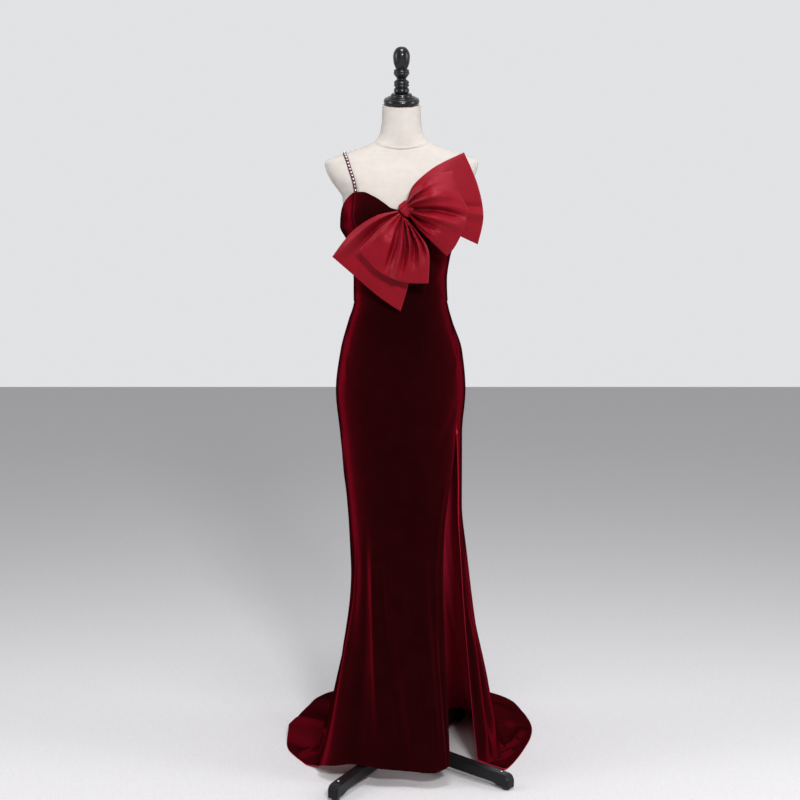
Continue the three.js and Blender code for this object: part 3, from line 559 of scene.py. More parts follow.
def satin(colours):
    """Heavy satin: a fine slanting twill on the cloth's own lengths, and a soft broad shine."""
    material, tree, principled = shader(
        "satin_red", Roughness=0.43, Specular_IOR_Level=0.45, Specular_Tint=(1.0, 0.22, 0.3, 1),
        Sheen_Weight=0.05, Sheen_Roughness=0.4, Sheen_Tint=(0.8, 0.12, 0.18, 1))
    coords = tree.nodes.new("ShaderNodeTexCoord")
    place, base = coords.outputs["Object"], tuple(colours.satin)
    mottle(tree, principled, noise(tree, place, 26.0, 5.0), shade(base, 0.86), shade(base, 1.12))
    turn = node(tree, "ShaderNodeMapping", coords.outputs["UV"], Rotation=(0, 0, math.radians(52)))
    twill = node(
        tree, "ShaderNodeTexWave", turn.outputs["Vector"], Scale=260.0, Distortion=1.6, Detail=2.0)
    slub = noise(tree, place, 420.0, 3.0)
    add_bump(tree, principled, relief(tree, slub, 1.4, twill.outputs["Fac"]), 0.22, 0.00035)
    return material


def linen(colours):
    """Cream linen: two crossed threads on the cover's own lengths, and slubs."""
    material, tree, principled = shader("linen_cream", Roughness=0.9, Specular_IOR_Level=0.1)
    coords = tree.nodes.new("ShaderNodeTexCoord")
    base = tuple(colours.linen)
    mottle(tree, principled, noise(tree, coords.outputs["Object"], 60.0, 6.0), shade(base, 0.93), base)
    threads = []
    for direction in ("X", "Y"):
        thread = node(
            tree, "ShaderNodeTexWave", coords.outputs["UV"], Scale=300.0, Distortion=1.2, Detail=1.0)
        thread.bands_direction = direction
        threads.append(thread.outputs["Fac"])
    add_bump(tree, principled, relief(tree, threads[0], 1.0, threads[1]), 0.25, 0.0003)
    return material


def plain_finish(name, colour, roughness, specular=0.5, grain=180.0, bump=0.05):
    """Painted, lacquered or woven small parts: one tone with a faint grain."""
    material, tree, principled = shader(name, Roughness=roughness, Specular_IOR_Level=specular)
    place = tree.nodes.new("ShaderNodeTexCoord").outputs["Object"]
    grains = noise(tree, place, grain, 4.0)
    mottle(tree, principled, grains, shade(colour, 0.85), shade(colour, 1.15))
    add_bump(tree, principled, grains, bump, 0.0004)
    return material


def crystal():
    """Cut glass with a mirrored back, as small stones on cloth look."""
    material, tree, principled = shader(
        "crystal_clear", Metallic=0.25, Roughness=0.16, Coat_Weight=1.0, Coat_Roughness=0.03)
    place = tree.nodes.new("ShaderNodeTexCoord").outputs["Object"]
    mottle(tree, principled, noise(tree, place, 240.0, 2.0), (0.62, 0.55, 0.58), (0.95, 0.9, 0.92))
    return material


# Small parts: colour, roughness, specular level, grain and height of the grain
PLAIN_FINISHES = {
    "strap_ribbon": ((0.02, 0.003, 0.006), 0.6, 0.2, 700.0, 0.4),
    "crystal_setting": ((0.03, 0.022, 0.025), 0.35, 0.6),
    "sewing_thread": ((0.4, 0.03, 0.02), 0.7, 0.1, 900.0, 0.2),
    "zip_tape": ((0.05, 0.004, 0.01), 0.8, 0.2, 900.0, 0.5),
    "black_lacquer": ((0.006, 0.006, 0.008), 0.24, 0.36, 90.0, 0.03),
    "black_paint": ((0.005, 0.005, 0.006), 0.36, 0.22, 260.0, 0.05),
    "foot_rubber": ((0.02, 0.02, 0.02), 0.85, 0.3, 400.0, 0.1),
    "screw_metal": ((0.55, 0.55, 0.56), 0.3, 0.8),
}


def finish(name):
    """The material of that name, made once."""
    made = bpy.data.materials.get(name)
    if made:
        return made
    if name in PLAIN_FINISHES:
        return plain_finish(name, *PLAIN_FINISHES[name])
    colours = bpy.context.scene.gown_colours
    makers = {
        "velvet_burgundy": lambda: velvet(colours),
        "velvet_back": lambda: plain_finish(name, tuple(colours.velvet_back), 0.85, 0.15, 500.0, 0.25),
        "satin_red": lambda: satin(colours),
        "linen_cream": lambda: linen(colours),
        "crystal_clear": crystal,
    }
    return makers[name]()


def finished(piece, material, slot, *nodes, lining=None):
    """Gives a piece its material and its body, and hides the nodes that it stands for. The slot is not used.
    A lining is the finish of a wall's inner side and rim, which come after its outer faces."""
    piece.data.materials.clear()
    piece.data.materials.append(finish(material))
    if lining:
        piece.data.materials.append(finish(lining))
        index = np.ones(len(piece.data.polygons), np.int32)
        index[:piece["outer_faces"]] = 0
        piece.data.polygons.foreach_set("material_index", index)
    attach(piece, BODY)
    if nodes:
        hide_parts(*nodes)
    return piece


# Skirt

LEG_SIDE_FALL, LEG_TIP_FALL = 60.0, 15.0


def leg_top(r):
    return LEG_HUB + (LEG_TIP - LEG_HUB) * np.clip(r / LEG_REACH, 0, 1)


def over_legs(x, y):
    """How high the cloth must be to lie over the legs: a wide bell beside each leg's line and a
    narrow one beyond its tip."""
    height = np.zeros(x.shape)
    for angle in np.radians(LEG_ANGLES):
        along = x * np.sin(angle) - y * np.cos(angle)
        across = np.abs(x * np.cos(angle) + y * np.sin(angle))
        beside = np.maximum(0, across - LEG_WIDE / 2 - CLOTH) / LEG_SIDE_FALL
        beyond = np.maximum(0, np.maximum(-along, along - LEG_REACH + 6)) / LEG_TIP_FALL
        height = np.maximum(height, (leg_top(along) + CLOTH + 1) * bell(beside) * bell(beyond))
    return height


def ring_angles(at, front, z):
    """The columns' angles on the ring. They draw apart below the top of the slit."""
    low = np.minimum(z, SLIT_TOP)
    edge = np.where(z > SLIT_TOP, SLIT_ANGLE, slit["front" if front else "side"](low))
    if front:
        return -90 + (at + 90) * (edge + 90) / (SLIT_ANGLE + 90)
    return 270 - (270 - at) * (270 - edge) / (270 - SLIT_ANGLE)


UPPER_COUNT, FLARE_COUNT, LAND_COUNT, CURVE_COUNT = 96, 120, 60, 160
# Where the flare's curve starts to fall below the knee, and rows softened above and below the knee
FLARE_DROP, SOFT_PASSES, SOFT_ABOVE, SOFT_BELOW = 130.0, 60, 14, 22
# Height over which the rings level out below the slanting waist seam, and the smooth run below it
WAIST_LEVEL, WAIST_PLAIN = 42.0, 30.0
# Millimetres of cloth to a degree of a column, and the dip beside the waist seam
SKIRT_DEGREE, SEAM_DIP, SEAM_DIP_WIDE = 3.4, 1.3, 3.2
# How sharply the cloth turns from its own height to that of the leg beneath
LIFT_SHARP = 6


def flare(at, front):
    """Below the knee: a Bezier curve down to where the cloth lands, then straight to the hem,
    with points evenly spaced down the length."""
    hem = {name: make(at) for name, make in (front_hem if front else back_hem).items()}
    start = gown_points(ring_angles(at, front, KNEE), KNEE)
    end = np.stack([hem["x"], hem["y"], hem["z"]], -1)
    land = start + (end - start) * np.minimum(hem["land"], 1)[:, None]
    land[:, 2] = end[:, 2]
    drop = start + unit((land - start) * (1, 1, 0)) * hem["sway"][:, None]
    drop[:, 2] = KNEE - FLARE_DROP
    reach = 0.2 + 0.15 * smooth(0, 120, hem["rise"])
    turn = land + (start - land) * reach[:, None]
    turn[:, 2] = land[:, 2] + hem["rise"]
    start, drop, turn, land, end = (p[:, None] for p in (start, drop, turn, land, end))
    t = np.linspace(0, 1, CURVE_COUNT)[None, :, None]
    fall = (1 - t) ** 3 * start + 3 * t * (1 - t) ** 2 * drop + 3 * t * t * (1 - t) * turn + t ** 3 * land
    lie = land + (end - land) * np.linspace(0, 1, LAND_COUNT)[None, 1:, None]
    path = np.concatenate([fall, lie], axis=1)
    want = np.linspace(0, 1, FLARE_COUNT + 1)[1:]
    return np.stack([walk(p, s, want * s[-1]) for s, p in zip(running(path, 1), path)])


def flute_heights(at, v):
    """Sum of bells across the columns, each fading in and out down the flare."""
    f = layers(FLUTES)
    fade = smooth(0, 0.35, v - f["start"]) * (1 - smooth(-0.2, 0, v - f["end"]))
    return (f["high"] * bell((at - f["at"]) / f["wide"]) * fade).sum(0)


def soften(grid, passes, first, last):
    """Averages each point with the ones above and below it, between two rows."""
    for _ in range(passes):
        middle = (grid[:, first - 1:last - 1] + grid[:, first:last] * 2 + grid[:, first + 1:last + 1]) / 4
        grid[:, first:last] = middle
    return grid


def skirt_grid(at, front):
    """Rings from the waist to the knee, then the flare, with its flutes, creases and legs beneath."""
    z = np.linspace(WAIST, KNEE, UPPER_COUNT)[None, :] + np.zeros((len(at), 1))
    angle = ring_angles(at[:, None], front, z)
    top = waist_height(angle[:, :1]) - SEAM / 2 - WAIST
    upper = gown_points(angle, z + top * (1 - smooth(0, WAIST_LEVEL, WAIST - z)))
    grid = np.concatenate([upper, flare(at, front)], axis=1)
    grid = soften(grid, SOFT_PASSES, UPPER_COUNT - SOFT_ABOVE, UPPER_COUNT + SOFT_BELOW)
    normals = normals_of(grid, -1)
    v = np.clip((np.arange(grid.shape[1]) - UPPER_COUNT + 1) / FLARE_COUNT, 0, 1)[None, :]
    at = at[:, None]
    down = running(grid, 1)
    height = flute_heights(at, v) + crease_heights(at, down, SKIRT_CREASES, SKIRT_DEGREE)
    height = height * smooth(0, WAIST_PLAIN, down) - SEAM_DIP * bell(down / SEAM_DIP_WIDE)
    grid = grid + normals * height[..., None]
    lift = np.where(v > 0, over_legs(grid[..., 0], grid[..., 1]), 0)
    grid[..., 2] = (np.maximum(grid[..., 2], CLOTH) ** LIFT_SHARP + lift ** LIFT_SHARP) ** (1 / LIFT_SHARP)
    return grid


def rounded_seams(grid, normals, depth=0.5, width=2.5):
    """Dips a panel in beside its seams, where the cloth turns into the seam allowance."""
    left = running(grid, 0)
    dip = bell(left / width) + bell((left[-1:] - left) / width)
    return grid - normals * (depth * dip)[..., None]


def open_seams(grid):
    """Draws the first and last column in by half a seam's gap."""
    grid = grid.copy()
    for edge, near in ((0, 1), (-1, -2)):
        grid[edge] += unit(grid[near] - grid[edge]) * SEAM / 2
    return grid


def velvet_panel(name, grid, side, normals):
    """A wall of velvet with its knitted back inside."""
    piece = wall(name + "_cloth", grid, CLOTH, side, normals)
    finished(piece, "velvet_burgundy", "velvet", name, lining="velvet_back")
    declare(grid)


def make_skirt():
    """Four panels, each worked out with one more column on either side, so that the normals match
    across the seams."""
    for name, first, last, count, front in (
        ("skirt_front", -90, SLIT_ANGLE, 150, True),
        ("skirt_side_front", SLIT_ANGLE, 90, 46, False),
        ("skirt_back_right", 90, 180, 120, False),
        ("skirt_back_left", 180, 270, 120, False),
    ):
        at = np.linspace(first, last, count)
        step = at[1] - at[0]
        low = first if first in (-90, SLIT_ANGLE) else first - step
        high = last if last in (270, SLIT_ANGLE) else last + step
        grid = skirt_grid(np.concatenate([[low], at, [high]]), front)
        normals = normals_of(grid, -1)[1:-1]
        if low == first:
            normals[0] = normals[1]
        if high == last:
            normals[-1] = normals[-2]
        grid = open_seams(rounded_seams(grid[1:-1], normals))
        grid[..., 2] = np.maximum(grid[..., 2], CLOTH * 0.9)
        velvet_panel(name, grid, -1, normals)
    make_bar_tack()


TACK_BELOW, TACK_HALF_WIDE, TACK_HALF_TALL, THREAD = 18.0, 2.6, 4.2, 0.45


def make_bar_tack():
    """Satin stitches side by side across the top of the slit: short loops pressed onto the cloth."""
    stitch = np.linspace(-1, 1, 9)[None, :, None]
    turn = np.arange(8)[None, None, :] / 8 * 2 * np.pi
    along = np.linspace(-TACK_HALF_TALL, TACK_HALF_TALL, 11)[:, None, None]
    spot = gown_points(SLIT_ANGLE + np.array([-1.2, 0, 1.2]), SLIT_TOP - TACK_BELOW)
    side = unit(spot[2] - spot[0])
    out = np.cross(side, (0.0, 0.0, 1.0))
    out *= np.sign(out @ spot[1])
    thick = THREAD * np.sqrt(1 - 0.9 * stitch ** 2)
    across = (stitch * TACK_HALF_WIDE)[..., None] * side
    lift = (0.55 + thick * np.sin(turn))[..., None] * out
    down = (along + thick * np.cos(turn))[..., None] * (0.0, 0.0, 1.0)
    rings = spot[1] + across + lift + down
    count, high, around = rings.shape[:3]
    faces = repeated(quads_round(high, around), high * around, count)
    tack = new_mesh("slit_bar_tack", rings.reshape(-1, 3), faces)
    finished(tack, "sewing_thread", "velvet")


# Bodice

def bodice_angles(at, t):
    """The princess seams come closer together towards the waist."""
    seam = PRINCESS_WAIST + (PRINCESS_TOP - PRINCESS_WAIST) * t
    size = np.abs(at)
    inside = size * seam / PRINCESS_TOP
    outside = 90 - (90 - size) * (90 - seam) / (90 - PRINCESS_TOP)
    moved = np.where(size <= PRINCESS_TOP, inside, np.where(size < 90, outside, size))
    return np.sign(at) * moved


# Millimetres of cloth to a degree of a column, the smooth run inside each edge, and the turned-in
# neckline and seams: how deep and how wide they dip
BODICE_DEGREE, BODICE_PLAIN = 2.4, 14.0
NECK_DIP, NECK_DIP_WIDE, PRINCESS_DIP, PRINCESS_DIP_WIDE = 0.7, 4.0, 0.8, 2.6


def make_bodice():
    """Five panels from the waist seam to the neckline, with cups, creases and turned-in edges."""
    t = np.linspace(0, 1, 90)[None, :]
    for name, low, high, count in (
        ("bodice_centre_front", -PRINCESS_TOP, PRINCESS_TOP, 110),
        ("bodice_side_front_left", -90, -PRINCESS_TOP, 56),
        ("bodice_side_front_right", PRINCESS_TOP, 90, 56),
        ("bodice_back_left", -180, -90, 90),
        ("bodice_back_right", 90, 180, 90),
    ):
        step = (high - low) / (count - 1)
        at = np.clip(np.linspace(low - step, high + step, count + 2), -180, 180)[:, None]
        angle = bodice_angles(at, t)
        waist = waist_height(angle) + SEAM / 2
        z = waist + (neckline(np.abs(at)) - waist) * t
        grid = gown_points(angle, z)
        normals = normals_of(grid, 1)
        down = neckline(np.abs(at)) - z
        height = crease_heights(at, down, BODICE_CREASES, BODICE_DEGREE)
        height = height * smooth(0, BODICE_PLAIN, down) * smooth(0, BODICE_PLAIN, z - waist)
        height = height - NECK_DIP * bell(down / NECK_DIP_WIDE)
        height = height - SEAM_DIP * bell((z - waist) / SEAM_DIP_WIDE)
        grid = grid + normals * height[..., None]
        normals = normals[1:-1]
        grid = open_seams(rounded_seams(grid[1:-1], normals, PRINCESS_DIP, PRINCESS_DIP_WIDE))
        velvet_panel(name, grid, 1, normals)


# Strap

def form_section(z):
    """Half widths and squareness of the form at heights, below and above the neckline."""
    above = z >= FORM_TOP["z"][0]
    inset = CLOTH + EASE
    wide = np.where(above, form_top["wide"](z), gown["left"](z) - inset)
    front = np.where(above, form_top["front"](z), gown["front"](z))
    back = np.where(above, form_top["back"](z), gown["back"](z) - inset)
    return wide, front, back, np.where(above, form_top["n"](z), gown["n"](z))


# Height inside the shoulder that the rays leave from, how far they may reach, and how often the
# reach is halved
SHOULDER_MIDDLE, RAY_REACH, HALVINGS = 1440.0, 260.0, 34


def form_skin(x, turn, off):
    """Where rays from inside the shoulder leave the form, in planes of given x, by halving."""
    s, c = np.sin(np.radians(turn)), np.cos(np.radians(turn))
    low, high = np.zeros(x.shape), np.full(x.shape, RAY_REACH)
    for _ in range(HALVINGS):
        r = (low + high) / 2
        wide, front, back, n = form_section(np.minimum(SHOULDER_MIDDLE + r * c, NECK_TOP))
        y = r * s
        inside = (np.abs(x) / wide) ** n + (np.abs(y) / np.where(y < 0, front, back)) ** n < 1
        low, high = np.where(inside, r, low), np.where(inside, high, r)
    return np.stack([x, (low + off) * s, SHOULDER_MIDDLE + (low + off) * c], -1)


STRAP_WIDTH, STRAP_THICK, STRAP_CROWN = 8.0, 1.6, 0.35
# Plain ribbon before the first crystal, and at both ends together
FIRST_CRYSTAL, PLAIN_ENDS = 5.0, 8.0


def strap_points(t, across, lift):
    """Points of the strap along its route, a little narrower over the shoulder and behind it."""
    x = strap_route["x"](t) + across * (1 - 0.25 * smooth(0.3, 0.6, t))
    return form_skin(x, strap_route["turn"](t), strap_route["off"](t) + lift)


def make_strap(sizes):
    """A crowned ribbon over the shoulder, and a row of set stones along its middle."""
    t = np.linspace(0, 1, 260)[None, :]
    across = np.linspace(-STRAP_WIDTH / 2, STRAP_WIDTH / 2, 13)[:, None]
    crown = STRAP_CROWN * (1 - (2 * across / STRAP_WIDTH) ** 2)
    grid = strap_points(t + 0 * across, across + 0 * t, STRAP_THICK - STRAP_CROWN + crown + 0 * t)
    ribbon = wall("strap_ribbon", grid, STRAP_THICK - 0.4, 1)
    finished(ribbon, "strap_ribbon", "strap_ribbon", "strap")
    line = strap_points(np.linspace(0, 1, 900), np.zeros(900), STRAP_THICK)
    length = running(line, 0)
    pitch = sizes.crystal_pitch / MM
    want = FIRST_CRYSTAL + np.arange(int((length[-1] - PLAIN_ENDS) / pitch)) * pitch
    place = walk(line, length, want)
    ahead = unit(walk(line, length, want + 2) - place)
    side = np.cross(ahead, np.array([0.0, 0.0, 1.0]) + 0 * ahead)
    side[:, 0] = np.abs(side[:, 0]) + 1e-3
    side -= ahead * (side * ahead).sum(1, keepdims=True)
    side = unit(np.where(np.abs(side).sum(1, keepdims=True) < 0.05, np.array([1.0, 0, 0]), side))
    up = np.cross(side, ahead)
    outward = (place - (0.0, 0.0, SHOULDER_MIDDLE)) * (0.0, 1.0, 1.0)
    up *= np.sign((up * outward).sum(1, keepdims=True))
    frames = (place, side, ahead, up)
    r = sizes.crystal_size / MM / 2
    stones = repeat_shape("strap_crystals", stone_profile(r - 0.5), 8, frames)
    cups = repeat_shape("strap_settings", setting_profile(r), 12, frames)
    finished(stones, "crystal_clear", "strap_ribbon")
    finished(cups, "crystal_setting", "strap_ribbon")


def stone_profile(r):
    """Radius and height of a round cut stone, from its girdle's underside to its flat table."""
    return [(0, 0.35), (r, 0.5), (r, 0.9), (r * 0.62, 2.0), (0, 2.05)]


def setting_profile(r):
    """Radius and height of a shallow metal cup round a stone."""
    return [(0, 0.0), (r, 0.0), (r + 0.15, 0.5), (r, 1.15), (r - 0.55, 1.15), (r - 0.6, 0.6), (0, 0.55)]


def repeat_shape(name, profile, around, frames):
    """A turned shape set at each place of a list, joined into one mesh by array arithmetic."""
    place, side, ahead, up = frames
    turn = np.arange(around) / around * 2 * np.pi
    inner = np.array(profile[1:-1])
    rings = np.stack([inner[:, :1] * np.cos(turn), inner[:, :1] * np.sin(turn), inner[:, 1:] + 0 * turn], -1)
    local = np.concatenate([rings.reshape(-1, 3), [[0, 0, profile[0][1]], [0, 0, profile[-1][1]]]])
    count = len(inner)
    quads = quads_round(count, around)
    j = np.arange(around)
    low = np.stack([np.full(around, count * around), (j + 1) % around, j], -1)
    top = (count - 1) * around
    high = np.stack([np.full(around, count * around + 1), top + j, top + (j + 1) % around], -1)
    faces = np.concatenate([quads[:, :3], quads[:, (0, 2, 3)], low, high])
    basis = np.stack([side, ahead, up], 1)
    basis[:, 0:1] *= np.sign(np.linalg.det(basis))[:, None, None]
    points = np.einsum("pk,nkc->npc", local, basis) + place[:, None]
    piece = new_mesh(name, points.reshape(-1, 3), repeated(faces, len(local), len(place)))
    piece.data.polygons.foreach_set("use_smooth", np.zeros(len(piece.data.polygons), bool))
    return piece


# Bow

def edge_curve(points):
    """A smooth curve through the points of an edge, by arc length."""
    p = np.array(points, float)
    s = running(p, 0)
    columns = {"s": s / s[-1], "x": p[:, 0], "z": p[:, 1]}
    x, z = flowing(columns, "s", "x"), flowing(columns, "s", "z")
    return lambda t: np.stack([x(t), z(t)], -1)


# How far the bust stands in front of the axis, and how fast the bodice falls back below the knot
BUST_FRONT, BUST_SLOPE = 127.0, 0.13


def wing_depths(wing, x, z):
    """How far back the wing's cloth stands: in front of the bust, further out away from the knot."""
    away = np.hypot(x, z)
    forward = wing["stand"] * smooth(0, 75, away) + wing["out"] * smooth(10, 90, away)
    return wing["depth"] - BUST_FRONT - forward + wing["lean"] * x * x + BUST_SLOPE * np.maximum(0, -z)


# Pleats of each wing: where they leave the knot and where they fade towards the rim (0 upper edge,
# 1 lower edge), how wide, how high and how far out they run
PLEATS = {
    "bow_back_right": table(
        "root tip wide high reach",
        (0.2, 0.12, 0.07, 7, 0.7), (0.42, 0.36, 0.08, -6, 0.6), (0.62, 0.6, 0.045, -6, 1.2),
        (0.7, 0.68, 0.045, 6, 1.2), (0.86, 0.86, 0.06, -6, 0.6),
    ),
    "bow_front_right": table(
        "root tip wide high reach",
        (0.1, 0.12, 0.045, 6, 0.7), (0.19, 0.2, 0.03, -6, 0.55), (0.31, 0.28, 0.07, 12, 0.9),
        (0.5, 0.53, 0.042, -22, 0.98), (0.63, 0.65, 0.05, 14, 0.95), (0.76, 0.79, 0.034, -22, 0.66),
        (0.88, 0.91, 0.035, 14, 0.65),
    ),
    "bow_back_left": table(
        "root tip wide high reach",
        (0.1, 0.08, 0.06, 10, 0.9), (0.26, 0.19, 0.055, -12, 0.85), (0.5, 0.46, 0.09, 5, 0.6),
        (0.84, 0.8, 0.07, -4, 0.5),
    ),
    "bow_front_left": table(
        "root tip wide high reach",
        (0.1, 0.09, 0.07, 5, 0.9), (0.35, 0.45, 0.042, -20, 0.92), (0.46, 0.565, 0.034, 13, 1.3),
        (0.55, 0.63, 0.026, -19, 0.86), (0.63, 0.7, 0.028, 16, 0.8), (0.71, 0.775, 0.026, -19, 0.74),
        (0.79, 0.85, 0.028, 15, 0.78), (0.87, 0.915, 0.024, -15, 0.68), (0.94, 0.965, 0.026, 8, 0.62),
    ),
}


WING_ALONG, WING_ACROSS = 100, 160
# Two low waves that run over every wing, and the rounding of its rim
RIM_WAVE, CLOTH_WAVE = 1.6, 0.9
RIM_ROUND, RIM_ROUND_WIDE = 0.9, 1.6


def wing_grid(name, wing):
    """A ruled surface between the upper and lower edge, bowed out to the rim, with a belly and pleats."""
    u = np.linspace(0, 1, WING_ALONG)[:, None]
    v = np.linspace(0, 1, WING_ACROSS)[None, :]
    upper, lower = (edge_curve(wing[edge])(u) for edge in ("upper", "lower"))
    rim = edge_curve(wing["rim"])(v)
    across = v[..., None]
    bow = rim - (rim[:, :1] * (1 - across) + rim[:, -1:] * across)
    flat = upper * (1 - across) + lower * across + bow * (u ** 1.5)[..., None]
    x = flat[..., 0] - wing["side"] * wing["near"] * (1 - u) ** 3
    z = flat[..., 1]
    middle = np.sin(np.pi * v)
    belly = wing["puff"] * middle ** 0.8 * smooth(0, 0.4, u) * (1 - 0.5 * u)
    f = layers(PLEATS[name])
    centre = f["root"] + (f["tip"] - f["root"]) * u
    ends = (0.4 + 0.6 * smooth(0, 0.22, u)) * (1 - smooth(-0.4, 0.1, u - f["reach"]))
    pleat = (f["high"] * bell((v - centre) / f["wide"]) * ends).sum(0)
    wave = RIM_WAVE * np.sin(2 * np.pi * (1.3 * v + 0.2)) * smooth(0.5, 1, u)
    wave = wave + CLOTH_WAVE * np.sin(9 * v + 5 * u) * u * middle
    y = wing_depths(wing, x, z) - belly - pleat * np.minimum(1, middle * 3) - wave
    return np.stack([KNOT_X + x, y, KNOT_Z + z], -1)


def make_bow():
    """Four wings of satin with rounded rims, and the knot."""
    for name, wing in WINGS.items():
        grid = wing_grid(name, wing)
        side = -wing["side"]
        normals = normals_of(grid, side)
        edges = (grid[-1:], grid[:, :1], grid[:, -1:])
        away = np.min([np.linalg.norm(grid - edge, axis=-1) for edge in edges], axis=0)
        grid = grid - normals * (RIM_ROUND * bell(away / RIM_ROUND_WIDE))[..., None]
        piece = wall(name + "_satin", grid, PLY - 0.8, side, normals)
        finished(piece, "satin_red", "satin", name)
        declare(grid)
    make_knot()


KNOT_RINGS, KNOT_AROUND, KNOT_SQUARE, KNOT_END = 70, 96, 0.7, 3.2
KNOT_WIDER, KNOT_TALLER, KNOT_CLEAR = 4.0, 1.0, 0.8


def make_knot():
    """A band with a rounded outline: rings of a squarish oval, with pleats wandering along it."""
    s = np.linspace(-1, 1, KNOT_RINGS)[:, None]
    t = np.arange(KNOT_AROUND)[None, :] / KNOT_AROUND * 2 * np.pi
    c, q = np.cos(t), np.sin(t)
    outline = (1 - np.abs(s) ** KNOT_END) ** (1 / KNOT_END)
    ridges = 0.6 * np.cos(10 * s * (1 + 0.2 * c) + 0.4) + 0.4 * np.cos(23 * s - 1.3 * c + 0.7)
    grow = np.maximum(0.35, outline) * (1 - 0.06 * (1 - ridges))
    flat = 1 - 0.28 * np.maximum(0, -q) ** 2
    narrow = np.maximum(0.6, outline) * (1 - 0.02 * (1 - ridges))
    x = np.sign(c) * np.abs(c) ** KNOT_SQUARE * (KNOT_WIDE / 2 + KNOT_WIDER) * narrow + KNOT_ASIDE
    y = np.sign(q) * np.abs(q) ** KNOT_SQUARE * KNOT_DEEP / 2 * grow * flat
    z = s * (KNOT_TALL / 2 + KNOT_TALLER) + 0 * t
    turn = math.radians(KNOT_TURN)
    turned = np.stack([
        KNOT_X + x * math.cos(turn) - z * math.sin(turn),
        y - float(gown["front"](KNOT_Z)) - KNOT_DEEP / 2 - KNOT_CLEAR,
        KNOT_Z + x * math.sin(turn) + z * math.cos(turn),
    ], -1)
    finished(tube_mesh("bow_knot_satin", turned), "satin_red", "satin", "bow_knot")


# Dress form and stand

# Height of the neck seam in front and its rise to the back, and how far each arm plate's rim lies
# from the side, in degrees
NECK_SEAM, NECK_SEAM_RISE, ARM_PLATE = 1538.0, 36.8, 15.0
NECK_GROOVE, NECK_RIDGE, PLATE_GROOVE, SHOULDER_GROOVE = 1.7, 0.6, 2.0, 0.7


def make_form():
    """Rings of the gown's form below the bust and of the shoulders above, with shallow grooves along
    the neck seam, round each arm's plate and down the side of each shoulder."""
    heights = ((FORM_BOTTOM, 1390, 100), (1396, 1500, 40), (1502, 1582, 92), (1585, NECK_TOP, 26))
    z = np.concatenate([np.linspace(*span) for span in heights])[:, None]
    angle = np.linspace(-180, 180, 241)[None, :-1]
    below = gown_points(angle, z, CLOTH + EASE)
    wide, front, back = (form_top[name](z) for name in ("wide", "front", "back"))
    x, y = on_ring(angle, wide, wide, front, back, form_top["n"](z))
    above = with_cups(angle, z, x, y)
    above[..., 2] += form_top["tilt"](z) * above[..., 1] * math.tan(NECK_TILT)
    rings = np.where((z < FORM_TOP["z"][0])[..., None], below, above)
    around = np.concatenate([rings[:, -1:], rings, rings[:, :1]], axis=1)
    normals = normals_of(around, -1)[:, 1:-1]
    seam = NECK_SEAM + NECK_SEAM_RISE * np.sqrt(np.sin(np.radians(angle / 2)) ** 2 + 0.004)
    groove = NECK_GROOVE * bell((z - seam) / 1.7) - NECK_RIDGE * bell((z - seam - 5) / 2.8)
    from_side = np.abs(angle) - 90
    plate = bell((np.abs(from_side) - ARM_PLATE) / 1.3)
    plate = plate * smooth(1385, 1400, z) * (1 - smooth(1505, 1522, z))
    shoulder = bell(from_side / 0.9) * smooth(1510, 1525, z) * (1 - smooth(-8, -2, z - seam))
    groove = groove + PLATE_GROOVE * plate + SHOULDER_GROOVE * shoulder
    rings -= normals * groove[..., None]
    finished(tube_mesh("form_cover", rings), "linen_cream", "linen", "form_torso")


TURNED_AROUND, TURNED_BETWEEN = 72, 5


def turned_piece(name, profile, tilt, base):
    """A turned piece: a profile of radius and height, rounded with cubic pieces between its points,
    carried round the axis and then tilted."""
    rows = np.array(profile, float)
    columns = {"s": np.arange(len(rows), dtype=float), "r": rows[:, 0], "z": rows[:, 1]}
    s = np.linspace(0, len(rows) - 1, (len(rows) - 1) * TURNED_BETWEEN + 1)[:, None]
    turn = np.arange(TURNED_AROUND) / TURNED_AROUND * 2 * np.pi
    r, z = steady(columns, "s", "r")(s), steady(columns, "s", "z")(s) + 0 * turn
    x, y = r * np.cos(turn), r * np.sin(turn)
    s, c = math.sin(tilt), math.cos(tilt)
    return tube_mesh(name, np.stack([x, y * c - z * s, y * s + z * c], -1) + np.array(base))


# Radius and height above the neck
CAP_PROFILE = [
    (2, 0.4), (37, 0.4), (40.5, 1.6), (43, 4.6), (44, 9), (43, 13.2), (40.5, 16), (37.5, 17), (35.5, 16.6),
    (34.5, 18), (33, 19.6), (30.5, 19.4), (29.5, 18.8), (28.8, 20), (28, 21.6), (26.6, 22.6), (26, 24.6),
    (24.6, 26.8), (21, 28.4), (2, 28.5),
]
FINIAL_PROFILE = [
    (2, 28.9), (14.5, 28.9), (17.6, 31), (19, 34.5), (18.5, 38), (16.6, 41.5), (14.9, 43.6), (16, 44.8),
    (18.2, 46), (18.7, 48), (18, 50), (17.1, 51.2), (18, 52.4), (18.7, 54.6), (17.8, 57), (15, 59.8),
    (12.2, 61.8), (11.2, 63.2), (12.2, 65.6), (15, 69.6), (18.2, 74.2), (19.5, 77), (19.2, 79), (18, 80.3),
    (18.7, 81.6), (18.9, 83.6), (17.4, 85.6), (14.4, 87.2), (13.8, 88.4), (15, 90.6), (17.8, 97),
    (19.6, 103.5),
    (20.3, 110), (20.7, 117), (20, 123.5), (18, 129.4), (14.8, 134.6), (10.8, 138.4), (6, 140.5), (2, 141),
]


